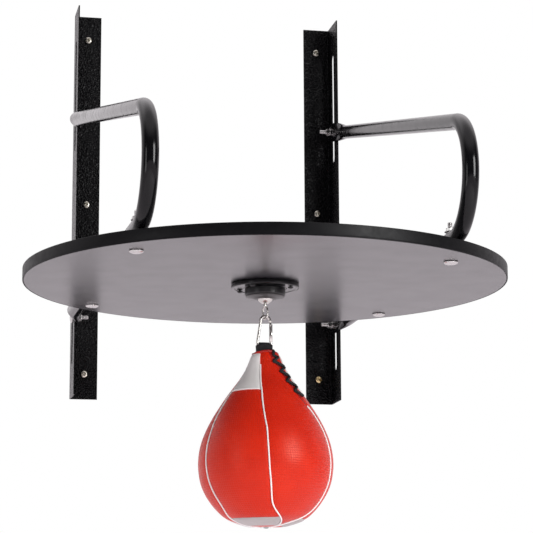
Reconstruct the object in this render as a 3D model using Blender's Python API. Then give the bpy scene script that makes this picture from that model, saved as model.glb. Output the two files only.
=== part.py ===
"""Wall-mounted speed bag platform, as an assembly of named pieces.  Metres, +Z up.

Two steel angle uprights are screwed to a wall.  Two bent tubes are bolted in the uprights'
slots and carry a round rebound board.  A ball swivel under the board holds a spring clip,
and an inflated leather bag hangs from the clip.

Frame: the origin is on the wall plane, midway between the uprights at half their height.
+X points right, +Y into the wall and +Z up, so the board stands out towards -Y.
"""
import math

import bmesh
import bpy
from mathutils import Matrix, Vector

# ------------------------------------------------------------------ driving dimensions
GAP = 0.0003                      # clearance between pieces that touch

UPRIGHT_LENGTH = 0.583
UPRIGHT_LEG = 0.057               # the leg that stands off the wall
UPRIGHT_WALL_LEG = 0.0405
UPRIGHT_SHEET = 0.0018
UPRIGHT_OUTER_X = 0.1975          # outer face of the leg that stands off the wall
SLOT_LENGTH = 0.170
SLOT_WIDTH = 0.0140
SLOT_CENTRE_Z = 0.1592            # above and below mid height
WALL_SCREW_X = 0.1765
WALL_SCREW_Z = (-0.2545, 0.0, 0.2545)
WALL_SCREW_DEPTH = 0.036          # how far the shank goes into the wall
WALL_SCREW_HEAD_RADIUS = 0.0050
WALL_SCREW_HEAD_HEIGHT = 0.0026
WALL_SCREW_SHANK_RADIUS = 0.0024
WALL_SCREW_HOLE_RADIUS = 0.0029

BOARD_RADIUS = 0.305
BOARD_THICKNESS = 0.015
BOARD_BAND = 0.0012               # thickness of the edge banding
BOARD_SEGMENTS = 52
BOARD_CENTRE_Y = -0.472
BOARD_UNDERSIDE_Z = -0.2004

TUBE_RADIUS = 0.010
TUBE_WALL = 0.0015
TUBE_BEND_RADIUS = 0.0692
TUBE_FRONT_Y = BOARD_CENTRE_Y - 0.280
TUBE_UPPER_SLOPE = 0.2398         # fall of the upper run towards the front
TUBE_X_AT_BOLTS = 0.2030
TUBE_TOE_IN = 0.0220              # how much the arms close towards the front, per metre run
PADDLE_THICKNESS = 0.004
PADDLE_HEIGHT = 0.028
ARM_BOLT_Y = -0.030

BOLT_RADIUS = 0.0030
BOLT_HEAD_RADIUS = 0.0088
BOLT_HEAD_HEIGHT = 0.0036
BOLT_HOLE_RADIUS = 0.0036
WASHER_RADIUS = 0.0062
WASHER_THICKNESS = 0.0015
NUT_CORNER_RADIUS = 0.0057
NUT_HEIGHT = 0.0050
NUT_FLANGE_RADIUS = 0.0070
ARM_BOLT_LENGTH = 0.0230
BOARD_BOLT_LENGTH = 0.0480
BOARD_BOLT_Y = (-0.1846, 0.1905)  # from the board's centre

FLANGE_RADIUS = 0.043
FLANGE_THICKNESS = 0.0055
FLANGE_SCREW_CIRCLE = 0.0355
FLANGE_SCREW_ANGLES = (53, 143, 233, 323)
FLANGE_SCREW_RADIUS = 0.0019
FLANGE_SCREW_HEAD_RADIUS = 0.0034
FLANGE_SCREW_HEAD_HEIGHT = 0.0021
FLANGE_SCREW_LENGTH = 0.0145
FLANGE_SCREW_HOLE_DEPTH = 0.0115  # in the board
HOUSING_RADIUS = 0.0256
HOUSING_BOTTOM = -0.0155          # heights below are from the board's underside
CAP_BOTTOM = -0.0195
BALL_RADIUS = 0.0105
BALL_CENTRE = -0.0150
SEAT_RADIUS = 0.0167
LIP_RADIUS = 0.0098

EYE_WIRE = 0.00125
EYE_HALF_WIDTH = 0.0048           # centreline of the elongated eye
EYE_TOP = -0.0292                 # centreline at the top of the eye
EYE_BOTTOM = -0.04445             # centreline at the bottom of the eye
EYE_TURN = math.radians(25)       # the eye's plane, turned from the YZ plane
EYE_STEM_RADIUS = 0.0021

CLIP_WIRE = 0.0018
CLIP_TOP_RADIUS = 0.0060
CLIP_BAR = -0.0782                # centreline of the bottom bar
CLIP_CORNER_RADIUS = 0.0033
CLIP_LEFT_X = -0.0103
CLIP_RIGHT_X = 0.0073
GATE_PIN_X = 0.0065
GATE_PIN_Z = -0.0525
GATE_LENGTH = 0.0212
GATE_PIN_RADIUS = 0.0007

WEBBING = 0.0015
LOOP_WIDTH = 0.0205
LOOP_WIDTH_AT_CLIP = 0.0135
LOOP_CENTRE_X = -0.0015
LOOP_INNER_RADIUS = 0.0024
LOOP_BOTTOM = -0.1040

# The bag's outline: (radius, height) from the mouth to the bottom.
BAG_OUTLINE = (
    (0.0156, -0.0868),
    (0.0175, -0.0905),
    (0.0192, -0.0950),
    (0.0211, -0.1005),
    (0.0269, -0.1127),
    (0.0345, -0.1248),
    (0.0450, -0.1388),
    (0.0552, -0.1535),
    (0.0656, -0.1700),
    (0.0741, -0.1865),
    (0.0801, -0.2030),
    (0.0832, -0.2200),
    (0.0832, -0.2360),
    (0.0796, -0.2540),
    (0.0708, -0.2715),
    (0.0583, -0.2870),
    (0.0461, -0.2961),
    (0.0260, -0.3030),
    (0.0120, -0.3048),
    (0.0045, -0.3050),
)
BAG_SEGMENTS = 24
LEATHER = 0.0025
BLADDER_WALL = 0.0012
SEAM_ANGLES = (-186, -130, -73, -9, 61, 118)
LACED_SEAM = 61
# The seams wind round the bag a little: (height, degrees added to every seam).
SEAM_TWIST = ((-0.0885, -22), (-0.1150, -15), (-0.1400, -8), (-0.1900, -1), (-0.2400, 1),
              (-0.2800, 4), (-0.3090, 7))
LACED_ROWS = 7                    # outline facets below the mouth that the lace closes
PIPING_WIDTH = 0.0026
LACE_RADIUS = 0.0016
LACE_REACH = 0.0052               # how far the zigzag reaches to each side of its seam
LACE_TOP = -0.0960
LACE_BOTTOM = -0.1475
LACE_CROSSINGS = 8
LACE_LEAD = -29                   # degrees that the lace starts ahead of its seam
LACE_LEAD_BOTTOM = -0.1180        # height at which it has reached the seam
VALVE_RADIUS = 0.0036

UPPER_RUN_ANGLE = math.atan(TUBE_UPPER_SLOPE)
LOWER_RUN_Z = BOARD_UNDERSIDE_Z + BOARD_THICKNESS + GAP + TUBE_RADIUS
BEND_CENTRE = (TUBE_FRONT_Y + TUBE_BEND_RADIUS, LOWER_RUN_Z + TUBE_BEND_RADIUS)
# Height of the upper run's centreline above the arm bolts' line, tangent to the bend.
UPPER_BOLT_Z = (BEND_CENTRE[1] + TUBE_BEND_RADIUS / math.cos(UPPER_RUN_ANGLE)
                + (ARM_BOLT_Y - BEND_CENTRE[0]) * TUBE_UPPER_SLOPE)
LOWER_BOLT_Z = LOWER_RUN_Z
PADDLE_X = UPRIGHT_OUTER_X - UPRIGHT_SHEET - GAP - PADDLE_THICKNESS / 2


def below(height):
    """World height of a point given from the board's underside."""
    return BOARD_UNDERSIDE_Z + height


SWIVEL_AXIS = Vector((0.0, BOARD_CENTRE_Y, BOARD_UNDERSIDE_Z))

# Each body's pivot: its empty stands there, and so do the origins of its pieces.
PIVOTS = {
    "uprights": Vector((0.0, 0.0, 0.0)),
    "carriage": Vector((0.0, ARM_BOLT_Y, LOWER_BOLT_Z)),
    "bearing": Vector((0.0, BOARD_CENTRE_Y, below(BALL_CENTRE))),
    "ball": Vector((0.0, BOARD_CENTRE_Y, below(BALL_CENTRE))),
    "clip": Vector((0.0, BOARD_CENTRE_Y, below(EYE_BOTTOM))),
    "gate": Vector((GATE_PIN_X, BOARD_CENTRE_Y, below(GATE_PIN_Z))),
    "bag": Vector((0.0, BOARD_CENTRE_Y, below(CLIP_BAR))),
}
PARENTS = {"carriage": "uprights", "bearing": "carriage", "ball": "bearing", "clip": "ball",
           "gate": "clip", "bag": "clip"}

# Colour, roughness and metallic value of each material.
FINISHES = {
    "powder_coat": ((0.020, 0.020, 0.022), 0.45, 0.0),
    "gloss_paint": ((0.008, 0.008, 0.009), 0.15, 0.0),
    "zinc": ((0.62, 0.61, 0.59), 0.28, 1.0),
    "board_laminate": ((0.022, 0.021, 0.023), 0.30, 0.0),
    "edge_band": ((0.012, 0.012, 0.013), 0.32, 0.0),
    "nylon": ((0.75, 0.74, 0.70), 0.45, 0.0),
    "chrome": ((0.80, 0.80, 0.80), 0.10, 1.0),
    "red_leather": ((0.62, 0.028, 0.016), 0.38, 0.0),
    "grey_leather": ((0.50, 0.48, 0.47), 0.50, 0.0),
    "black_webbing": ((0.012, 0.012, 0.014), 0.85, 0.0),
    "bladder_rubber": ((0.05, 0.045, 0.04), 0.70, 0.0),
    "white_piping": ((0.80, 0.80, 0.78), 0.45, 0.0),
    "black_rubber": ((0.014, 0.014, 0.014), 0.60, 0.0),
}


# ------------------------------------------------------------------------ scene helpers
def clear_scene():
    for item in list(bpy.data.objects):
        bpy.data.objects.remove(item, do_unlink=True)


def make_materials():
    for name, (colour, roughness, metallic) in FINISHES.items():
        material = bpy.data.materials.new(name)
        material.use_nodes = True
        shader = material.node_tree.nodes["Principled BSDF"]
        shader.inputs["Base Color"].default_value = (*colour, 1.0)
        shader.inputs["Roughness"].default_value = roughness
        shader.inputs["Metallic"].default_value = metallic


def make_pivots():
    """One empty for each body, parented as the joints are."""
    for body, place in PIVOTS.items():
        empty = bpy.data.objects.new(body + "_pivot", None)
        empty.empty_display_size = 0.02
        bpy.context.collection.objects.link(empty)
        parent = PARENTS.get(body)
        if parent:
            empty.parent = bpy.data.objects[parent + "_pivot"]
            empty.location = place - PIVOTS[parent]
        else:
            empty.location = place


def add_piece(name, body, finish, shape, smooth_angle=38):
    """Make an object of a bmesh built in world coordinates, with its origin on its pivot."""
    shape.transform(Matrix.Translation(-PIVOTS[body]))
    mesh = bpy.data.meshes.new(name)
    shape.to_mesh(mesh)
    shape.free()
    mesh.shade_smooth()
    mesh.set_sharp_from_angle(angle=math.radians(smooth_angle))
    piece = bpy.data.objects.new(name, mesh)
    piece.data.materials.append(bpy.data.materials[finish])
    piece.parent = bpy.data.objects[body + "_pivot"]
    bpy.context.collection.objects.link(piece)
    return piece


def cut(piece, body, name, cutter_shape):
    """Cut a bmesh out of a piece with an exact Boolean; the cutter stays as a hidden guide."""
    cutter = add_piece(name, body, "zinc", cutter_shape)
    cutter.hide_render = True
    cutter.display_type = 'WIRE'
    boolean = piece.modifiers.new(name, 'BOOLEAN')
    boolean.operation = 'DIFFERENCE'
    boolean.solver = 'EXACT'
    boolean.object = cutter


# ----------------------------------------------------------------------- shape helpers
def facing_out(shape):
    """Point a closed bmesh's faces outwards."""
    bmesh.ops.recalc_face_normals(shape, faces=shape.faces)
    if shape.calc_volume(signed=True) < 0:
        bmesh.ops.reverse_faces(shape, faces=shape.faces)
    return shape


def revolve(profile, segments, closed=False):
    """Turn (radius, height) points about Z.  A point on the axis becomes a pole."""
    shape = bmesh.new()
    rings = []
    for radius, height in profile:
        if radius < 1e-9:
            rings.append([shape.verts.new((0, 0, height))])
            continue
        ring = []
        for k in range(segments):
            angle = math.tau * k / segments
            ring.append(shape.verts.new((radius * math.cos(angle), radius * math.sin(angle), height)))
        rings.append(ring)
    pairs = list(zip(rings, rings[1:]))
    if closed:
        pairs.append((rings[-1], rings[0]))
    for a, b in pairs:
        if len(a) == 1 and len(b) == 1:
            continue
        for k in range(segments):
            n = (k + 1) % segments
            corners = (a[k % len(a)], a[n % len(a)], b[n % len(b)], b[k % len(b)])
            shape.faces.new(list(dict.fromkeys(corners)))
    return facing_out(shape)


def loft(sections, closed=False):
    """Skin equal loops of points; the ends are capped unless the last meets the first."""
    shape = bmesh.new()
    rings = [[shape.verts.new(point) for point in section] for section in sections]
    pairs = list(zip(rings, rings[1:]))
    if closed:
        pairs.append((rings[-1], rings[0]))
    else:
        shape.faces.new(rings[0])
        shape.faces.new(rings[-1])
    for a, b in pairs:
        for k in range(len(a)):
            n = (k + 1) % len(a)
            shape.faces.new((a[k], a[n], b[n], b[k]))
    return facing_out(shape)


def extrude(outline, low, high):
    """Extrude an outline of (x, y) points between two heights."""
    return loft([[(x, y, z) for x, y in outline] for z in (low, high)])


def join(shapes):
    """Put several bmeshes in one, as separate bodies."""
    whole = bmesh.new()
    for shape in shapes:
        mesh = bpy.data.meshes.new("joined")
        shape.to_mesh(mesh)
        shape.free()
        whole.from_mesh(mesh)
        bpy.data.meshes.remove(mesh)
    return whole


def placed(shape, location, turn=None):
    """Turn a bmesh about the origin, then move it."""
    shape.transform(Matrix.Translation(location) @ (turn or Matrix.Identity(4)))
    return shape


def circle(radius, segments, centre=(0, 0), start=0.0):
    points = []
    for k in range(segments):
        angle = start + math.tau * k / segments
        points.append((centre[0] + radius * math.cos(angle), centre[1] + radius * math.sin(angle)))
    return points


def arc(centre, radius, start_deg, end_deg, steps):
    points = []
    for k in range(steps + 1):
        angle = math.radians(start_deg + (end_deg - start_deg) * k / steps)
        points.append((centre[0] + radius * math.cos(angle), centre[1] + radius * math.sin(angle)))
    return points


def wire(points, radius, sides):
    """A round rod along 3-D points, with capped ends and mitred bends."""
    points = [Vector(p) for p in points]
    sections = []
    side = None
    for k, point in enumerate(points):
        ahead = points[min(k + 1, len(points) - 1)] - point
        behind = point - points[max(k - 1, 0)]
        tangent = (ahead.normalized() + behind.normalized()).normalized()
        side = tangent.orthogonal().normalized() if side is None else side - tangent * side.dot(tangent)
        side.normalize()
        up = tangent.cross(side)
        section = []
        for j in range(sides):
            angle = math.tau * j / sides
            section.append(point + radius * (math.cos(angle) * side + math.sin(angle) * up))
        sections.append(section)
    return loft(sections)


def closed_wire(points, radius, sides, normal):
    """A round rod around a closed plane loop of points; normal is the plane's normal."""
    points = [Vector(p) for p in points]
    sections = []
    for k, point in enumerate(points):
        tangent = (points[(k + 1) % len(points)] - points[k - 1]).normalized()
        outward = tangent.cross(normal)
        section = []
        for j in range(sides):
            angle = math.tau * j / sides
            section.append(point + radius * (math.cos(angle) * outward + math.sin(angle) * normal))
        sections.append(section)
    return loft(sections, closed=True)


# --------------------------------------------------------------------------- fasteners
def bolt(shank_length):
    """A round-head bolt, head down at the origin and shank up along +Z."""
    head = arc((0, 0), 1.0, -90, 0, 3)
    profile = [(x * BOLT_HEAD_RADIUS, y * BOLT_HEAD_HEIGHT) for x, y in head]
    profile[0] = (0, -BOLT_HEAD_HEIGHT)
    profile += [(BOLT_RADIUS, 0), (BOLT_RADIUS, shank_length), (0, shank_length)]
    return revolve(profile, 12)


def washer():
    return revolve([(WASHER_RADIUS, 0), (WASHER_RADIUS, WASHER_THICKNESS),
                    (BOLT_HOLE_RADIUS, WASHER_THICKNESS), (BOLT_HOLE_RADIUS, 0)], 12, closed=True)


def nut(flange_radius=0.0):
    """A hexagon nut standing on the origin; a flange nut where a flange radius is given."""
    edge = 0.0006
    hexagon = [NUT_CORNER_RADIUS * (1.0 if k % 2 else math.cos(math.radians(30))) for k in range(12)]
    rings = []
    if flange_radius:
        rings += [([flange_radius] * 12, 0.0), ([flange_radius] * 12, 0.0010), (hexagon, 0.0018)]
    else:
        rings += [(hexagon, 0.0)]
    rings += [(hexagon, NUT_HEIGHT - edge), ([r - edge for r in hexagon], NUT_HEIGHT)]
    hole = [BOLT_RADIUS + GAP] * 12
    rings += [(hole, NUT_HEIGHT), (hole, 0.0)]
    sections = []
    for radii, z in rings:
        section = []
        for k, radius in enumerate(radii):
            angle = math.tau * k / 12
            section.append((radius * math.cos(angle), radius * math.sin(angle), z))
        sections.append(section)
    return loft(sections, closed=True)


def screw(head_radius, head_height, shank_radius, length):
    """A pan-head wood screw, head on -Z side of the origin and point at +length."""
    return revolve([(0, -head_height), (head_radius * 0.6, -head_height), (head_radius, -head_height * 0.45),
                    (head_radius, 0), (shank_radius, 0), (shank_radius, length - 3 * shank_radius),
                    (0, length)], 10)


def along_x(side):
    """Turn +Z to point inwards along X on the given side."""
    return Matrix.Rotation(math.radians(-90 * side), 4, 'Y')


# ----------------------------------------------------------------------------- uprights
def upright_outline(side):
    """The angle's section, seen from above, with a rounded outer corner."""
    x = UPRIGHT_OUTER_X
    bend = UPRIGHT_SHEET + 0.001
    points = [(x - UPRIGHT_WALL_LEG, 0), (x - bend, 0)]
    points += arc((x - bend, -bend), bend, 90, 0, 4)[1:]
    points += [(x, -UPRIGHT_LEG), (x - UPRIGHT_SHEET, -UPRIGHT_LEG)]
    points += arc((x - bend, -bend), bend - UPRIGHT_SHEET, 0, 90, 2)
    points += [(x - UPRIGHT_WALL_LEG, -UPRIGHT_SHEET)]
    return [(side * px, py) for px, py in points]


def slot_cutter(side, centre_z):
    """A stadium through the leg that stands off the wall."""
    radius = SLOT_WIDTH / 2
    straight = SLOT_LENGTH / 2 - radius
    outline = arc((0, straight), radius, 0, 180, 6) + arc((0, -straight), radius, 180, 360, 6)
    low = side * (UPRIGHT_OUTER_X - UPRIGHT_SHEET - 0.002)
    high = side * (UPRIGHT_OUTER_X + 0.002)
    return loft([[(x, ARM_BOLT_Y + y, centre_z + z) for y, z in outline] for x in (low, high)])


def make_upright(side, name):
    half = UPRIGHT_LENGTH / 2
    upright = add_piece(name, "uprights", "powder_coat", extrude(upright_outline(side), -half, half))
    cutters = [slot_cutter(side, SLOT_CENTRE_Z), slot_cutter(side, -SLOT_CENTRE_Z)]
    for z in WALL_SCREW_Z:
        hole = loft([[(side * WALL_SCREW_X + x, y, z + w) for x, w in circle(WALL_SCREW_HOLE_RADIUS, 12)]
                     for y in (-UPRIGHT_SHEET - 0.002, 0.002)])
        cutters.append(hole)
    cut(upright, "uprights", name + "_holes", join(cutters))


def make_wall_screws(side, word):
    into_wall = Matrix.Rotation(math.radians(-90), 4, 'X')
    for level, z in zip(("bottom", "middle", "top"), WALL_SCREW_Z):
        shape = screw(WALL_SCREW_HEAD_RADIUS, WALL_SCREW_HEAD_HEIGHT, WALL_SCREW_SHANK_RADIUS,
                      WALL_SCREW_DEPTH)
        place = Vector((side * WALL_SCREW_X, -UPRIGHT_SHEET - GAP, z))
        add_piece(f"{word}_{level}_wall_screw", "uprights", "zinc", placed(shape, place, into_wall))


# --------------------------------------------------------------------------------- arms
def arm_stations():
    """Points down the arm: (y, z, tangent angle, roundness, paddle end factor)."""
    slope = UPPER_RUN_ANGLE
    flat_steps = ((-0.0135, 0.0, 0.68), (-0.0105, 0.0, 1.0), (0.0335, 0.0, 1.0), (0.040, 0.22, 1.0),
                  (0.047, 0.60, 1.0), (0.054, 0.88, 1.0), (0.063, 1.0, 1.0))
    stations = []
    for run, roundness, end in flat_steps:
        stations.append((ARM_BOLT_Y - run * math.cos(slope), UPPER_BOLT_Z - run * math.sin(slope),
                         slope, roundness, end))
    steps = 10
    for k in range(steps + 1):
        turned = (math.pi - slope) * k / steps
        angle = math.pi / 2 + slope + turned
        stations.append((BEND_CENTRE[0] + TUBE_BEND_RADIUS * math.cos(angle),
                         BEND_CENTRE[1] + TUBE_BEND_RADIUS * math.sin(angle), slope + turned, 1.0, 1.0))
    for run, roundness, end in reversed(flat_steps):
        stations.append((ARM_BOLT_Y - run, LOWER_RUN_Z, math.pi, roundness, end))
    return stations


def arm_section(side, station, wall, sides=10):
    """The tube's outline at a station: round, or pressed flat where roundness is 0."""
    y, z, angle, roundness, end = station
    half_x = PADDLE_THICKNESS / 2 + (TUBE_RADIUS - PADDLE_THICKNESS / 2) * roundness - wall
    half_up = PADDLE_HEIGHT / 2 + (TUBE_RADIUS - PADDLE_HEIGHT / 2) * roundness - wall
    half_up *= end
    power = 1.0 if roundness > 0.5 else 0.35 + 1.3 * roundness
    centre_line_x = TUBE_X_AT_BOLTS + (y - ARM_BOLT_Y) * TUBE_TOE_IN
    x = PADDLE_X + (centre_line_x - PADDLE_X) * roundness
    points = []
    for k in range(sides):
        turn = math.tau * (k + 0.5) / sides
        across = math.copysign(abs(math.cos(turn)) ** power, math.cos(turn)) * half_x
        up = math.copysign(abs(math.sin(turn)) ** power, math.sin(turn)) * half_up
        points.append((side * (x + across), y - up * math.sin(angle), z + up * math.cos(angle)))
    return points


def make_arm(side, name):
    stations = arm_stations()
    arm = add_piece(name, "carriage", "gloss_paint",
                    loft([arm_section(side, station, 0.0) for station in stations]))
    hollow = [station for station in stations if station[3] > 0.5]
    cut(arm, "carriage", name + "_bore", loft([arm_section(side, station, TUBE_WALL) for station in hollow]))
    holes = []
    for height in (UPPER_BOLT_Z, LOWER_BOLT_Z):
        holes.append(loft([[(side * x, ARM_BOLT_Y + y, height + z) for y, z in circle(BOLT_HOLE_RADIUS, 10)]
                           for x in (PADDLE_X - 0.006, PADDLE_X + 0.006)]))
    for x, y in board_bolt_places(side):
        holes.append(extrude(circle(BOLT_HOLE_RADIUS, 10, (x, y)), LOWER_RUN_Z - 0.014, LOWER_RUN_Z + 0.014))
    cut(arm, "carriage", name + "_bolt_holes", join(holes))


def make_arm_bolts(side, word):
    """A bolt, washer and nut hold each paddle to the inner face of its upright."""
    inwards = along_x(side)
    paddle_inner = PADDLE_X - PADDLE_THICKNESS / 2
    for level, height in (("upper", UPPER_BOLT_Z), ("lower", LOWER_BOLT_Z)):
        stack = (
            ("bolt", bolt(ARM_BOLT_LENGTH), UPRIGHT_OUTER_X + GAP),
            ("washer", washer(), paddle_inner - GAP),
            ("nut", nut(), paddle_inner - 2 * GAP - WASHER_THICKNESS),
        )
        for kind, shape, x in stack:
            place = Vector((side * x, ARM_BOLT_Y, height))
            add_piece(f"{word}_{level}_arm_{kind}", "carriage", "zinc", placed(shape, place, inwards))


# -------------------------------------------------------------------------------- board
def board_bolt_places(side):
    """The front and rear board bolts of one arm, on its lower run's centreline."""
    places = []
    for offset in BOARD_BOLT_Y:
        y = BOARD_CENTRE_Y + offset
        places.append((side * (TUBE_X_AT_BOLTS + (y - ARM_BOLT_Y) * TUBE_TOE_IN), y))
    return places


def flange_screw_places():
    places = []
    for degrees in FLANGE_SCREW_ANGLES:
        angle = math.radians(degrees)
        places.append((FLANGE_SCREW_CIRCLE * math.cos(angle),
                       BOARD_CENTRE_Y + FLANGE_SCREW_CIRCLE * math.sin(angle)))
    return places


def make_board():
    radius = BOARD_RADIUS - BOARD_BAND - GAP
    centre = Vector((0, BOARD_CENTRE_Y, BOARD_UNDERSIDE_Z))
    disc = revolve([(0, 0), (radius, 0), (radius, BOARD_THICKNESS), (0, BOARD_THICKNESS)], BOARD_SEGMENTS)
    board = add_piece("board_disc", "carriage", "board_laminate", placed(disc, centre))
    holes = [extrude(circle(BOLT_HOLE_RADIUS, 10, place), below(-0.01), below(BOARD_THICKNESS + 0.01))
             for place in board_bolt_places(1) + board_bolt_places(-1)]
    screw_hole = FLANGE_SCREW_RADIUS + GAP
    holes += [extrude(circle(screw_hole, 8, place), below(-0.01), below(FLANGE_SCREW_HOLE_DEPTH))
              for place in flange_screw_places()]
    cut(board, "carriage", "board_holes", join(holes))

    inner = BOARD_RADIUS - BOARD_BAND
    band = revolve([(inner, 0), (BOARD_RADIUS, 0), (BOARD_RADIUS, BOARD_THICKNESS),
                    (inner, BOARD_THICKNESS)], BOARD_SEGMENTS, closed=True)
    add_piece("board_edge_band", "carriage", "edge_band", placed(band, centre), 60)


def make_board_bolts(side, word):
    """Bolts up through the board and the arm, each with a flange nut on top of the tube."""
    for end, (x, y) in zip(("front", "rear"), board_bolt_places(side)):
        add_piece(f"{word}_{end}_board_bolt", "carriage", "zinc",
                  placed(bolt(BOARD_BOLT_LENGTH), Vector((x, y, BOARD_UNDERSIDE_Z - GAP))))
        add_piece(f"{word}_{end}_board_nut", "carriage", "zinc",
                  placed(nut(NUT_FLANGE_RADIUS), Vector((x, y, LOWER_RUN_Z + TUBE_RADIUS + GAP))))


# ------------------------------------------------------------------------------- swivel
def sphere_arc(radius, start_deg, end_deg, steps):
    """(radius, height) points on a sphere about the ball's centre, from -90 at the bottom."""
    return [(x, BALL_CENTRE + z) for x, z in arc((0, 0), radius, start_deg, end_deg, steps)]


def make_swivel_plate():
    inner = SEAT_RADIUS + 2 * GAP
    edge = 0.0012
    top = -GAP
    bottom = -GAP - FLANGE_THICKNESS
    flange = revolve([(inner, top), (FLANGE_RADIUS, top), (FLANGE_RADIUS, bottom + edge),
                      (FLANGE_RADIUS - edge, bottom), (inner, bottom)], 36, closed=True)
    plate = add_piece("swivel_flange", "carriage", "gloss_paint", placed(flange, SWIVEL_AXIS), 50)
    holes = [extrude(circle(FLANGE_SCREW_RADIUS + GAP, 8, place), below(-0.01), below(0.003))
             for place in flange_screw_places()]
    cut(plate, "carriage", "swivel_flange_holes", join(holes))

    for k, (x, y) in enumerate(flange_screw_places()):
        shape = screw(FLANGE_SCREW_HEAD_RADIUS, FLANGE_SCREW_HEAD_HEIGHT, FLANGE_SCREW_RADIUS,
                      FLANGE_SCREW_LENGTH)
        place = Vector((x, y, below(bottom - GAP)))
        add_piece(f"swivel_screw_{k + 1}", "carriage", "gloss_paint", placed(shape, place))


def make_swivel_housing():
    top = -FLANGE_THICKNESS - 2 * GAP
    inner = SEAT_RADIUS + GAP
    edge = 0.0008
    housing = revolve([(inner, top), (HOUSING_RADIUS, top), (HOUSING_RADIUS, HOUSING_BOTTOM + edge),
                       (HOUSING_RADIUS - edge, HOUSING_BOTTOM), (inner, HOUSING_BOTTOM)], 24, closed=True)
    add_piece("swivel_housing", "carriage", "gloss_paint", placed(housing, SWIVEL_AXIS))

    cap_top = HOUSING_BOTTOM - GAP
    ball_gap = BALL_RADIUS + GAP
    seat = [(math.sqrt(ball_gap ** 2 - (z - BALL_CENTRE) ** 2), z)
            for z in (cap_top, (cap_top + CAP_BOTTOM) / 2, CAP_BOTTOM + 0.0002)]
    cap = revolve(seat + [(LIP_RADIUS, CAP_BOTTOM), (0.0135, CAP_BOTTOM),
                          (HOUSING_RADIUS - 0.0010, cap_top - 0.0008), (HOUSING_RADIUS - 0.0010, cap_top)],
                  24, closed=True)
    add_piece("swivel_cap", "carriage", "gloss_paint", placed(cap, SWIVEL_AXIS))


def make_swivel_inside():
    recess = sphere_arc(BALL_RADIUS + 2 * GAP, 90, 2, 6)
    seat = revolve([(0, -2 * GAP), (SEAT_RADIUS, -2 * GAP), (SEAT_RADIUS, recess[-1][1])]
                   + recess[::-1][:-1] + [(0, recess[0][1])], 18)
    add_piece("swivel_bearing_seat", "bearing", "nylon", placed(seat, SWIVEL_AXIS))

    bore = EYE_STEM_RADIUS + GAP
    head_bore = 0.0042
    shelf = BALL_CENTRE + 0.0070
    lowest = -math.degrees(math.acos(bore / BALL_RADIUS))
    highest = math.degrees(math.acos(head_bore / BALL_RADIUS))
    outside = sphere_arc(BALL_RADIUS, lowest, highest, 8)
    ball = revolve(outside + [(head_bore, shelf), (bore, shelf)], 20, closed=True)
    add_piece("swivel_ball", "ball", "chrome", placed(ball, SWIVEL_AXIS))

    head_top = shelf + GAP + 0.0020
    stem = revolve([(0, EYE_TOP), (EYE_STEM_RADIUS, EYE_TOP), (EYE_STEM_RADIUS, shelf + GAP),
                    (head_bore - GAP, shelf + GAP), (head_bore - GAP, head_top), (0, head_top)], 12)
    eye = add_piece("swivel_eye", "ball", "chrome", placed(stem, SWIVEL_AXIS))
    ring = eye_ring()
    loop = add_piece("swivel_eye_loop_tool", "ball", "chrome", ring)
    loop.hide_render = True
    loop.display_type = 'WIRE'
    union = eye.modifiers.new("loop", 'BOOLEAN')
    union.operation = 'UNION'
    union.solver = 'EXACT'
    union.object = loop


def eye_ring():
    """The elongated eye: two straight sides and two half circles, in a vertical plane."""
    half = EYE_HALF_WIDTH
    outline = arc((0, EYE_TOP - half), half, 0, 180, 6) + arc((0, EYE_BOTTOM + half), half, 180, 360, 6)
    across = Vector((-math.sin(EYE_TURN), math.cos(EYE_TURN), 0))
    normal = across.cross(Vector((0, 0, 1)))
    points = [SWIVEL_AXIS + across * s + Vector((0, 0, z)) for s, z in outline]
    return closed_wire(points, EYE_WIRE, 8, normal)


# --------------------------------------------------------------------------------- clip
def clip_point(x, height):
    return Vector((x, BOARD_CENTRE_Y, below(height)))


def make_clip():
    top = EYE_BOTTOM + EYE_WIRE + GAP + CLIP_WIRE - CLIP_TOP_RADIUS
    corner = CLIP_CORNER_RADIUS
    nose = arc((CLIP_RIGHT_X - corner, CLIP_BAR + corner), corner, 0, -90, 4)
    heel = arc((CLIP_LEFT_X + corner, CLIP_BAR + corner), corner, -90, -173, 4)
    bend = arc((0, top), CLIP_TOP_RADIUS, 187, 0, 9)
    ear = [(GATE_PIN_X + 0.0001, GATE_PIN_Z + 0.0042), (GATE_PIN_X + 0.0002, GATE_PIN_Z + 0.0030)]
    path = [(CLIP_RIGHT_X, CLIP_BAR + corner + 0.0006)] + nose + heel + bend + ear
    body = add_piece("clip_body", "clip", "chrome", wire([clip_point(x, z) for x, z in path], CLIP_WIRE, 8), 60)
    # A thin tongue carries the gate's pin.
    tongue = [(GATE_PIN_X - 0.0013, GATE_PIN_Z + 0.0040), (GATE_PIN_X + 0.0013, GATE_PIN_Z + 0.0040)]
    tongue += arc((GATE_PIN_X, GATE_PIN_Z), 0.0013, 0, -180, 6)
    sections = [[(x, BOARD_CENTRE_Y + y, below(z)) for x, z in tongue] for y in (-0.0007, 0.0007)]
    tongue_piece = add_piece("clip_tongue_tool", "clip", "chrome", loft(sections))
    tongue_piece.hide_render = True
    tongue_piece.display_type = 'WIRE'
    union = body.modifiers.new("tongue", 'BOOLEAN')
    union.operation = 'UNION'
    union.solver = 'EXACT'
    union.object = tongue_piece
    cut(body, "clip", "clip_pin_hole", gate_pin(GATE_PIN_RADIUS + 0.0001, 0.004))
    add_piece("clip_rivet", "clip", "chrome", rivet())


def gate_pin(radius, half_length):
    outline = circle(radius, 10, (GATE_PIN_X, GATE_PIN_Z))
    return loft([[(x, BOARD_CENTRE_Y + y, below(z)) for x, z in outline] for y in (-half_length, half_length)])


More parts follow.
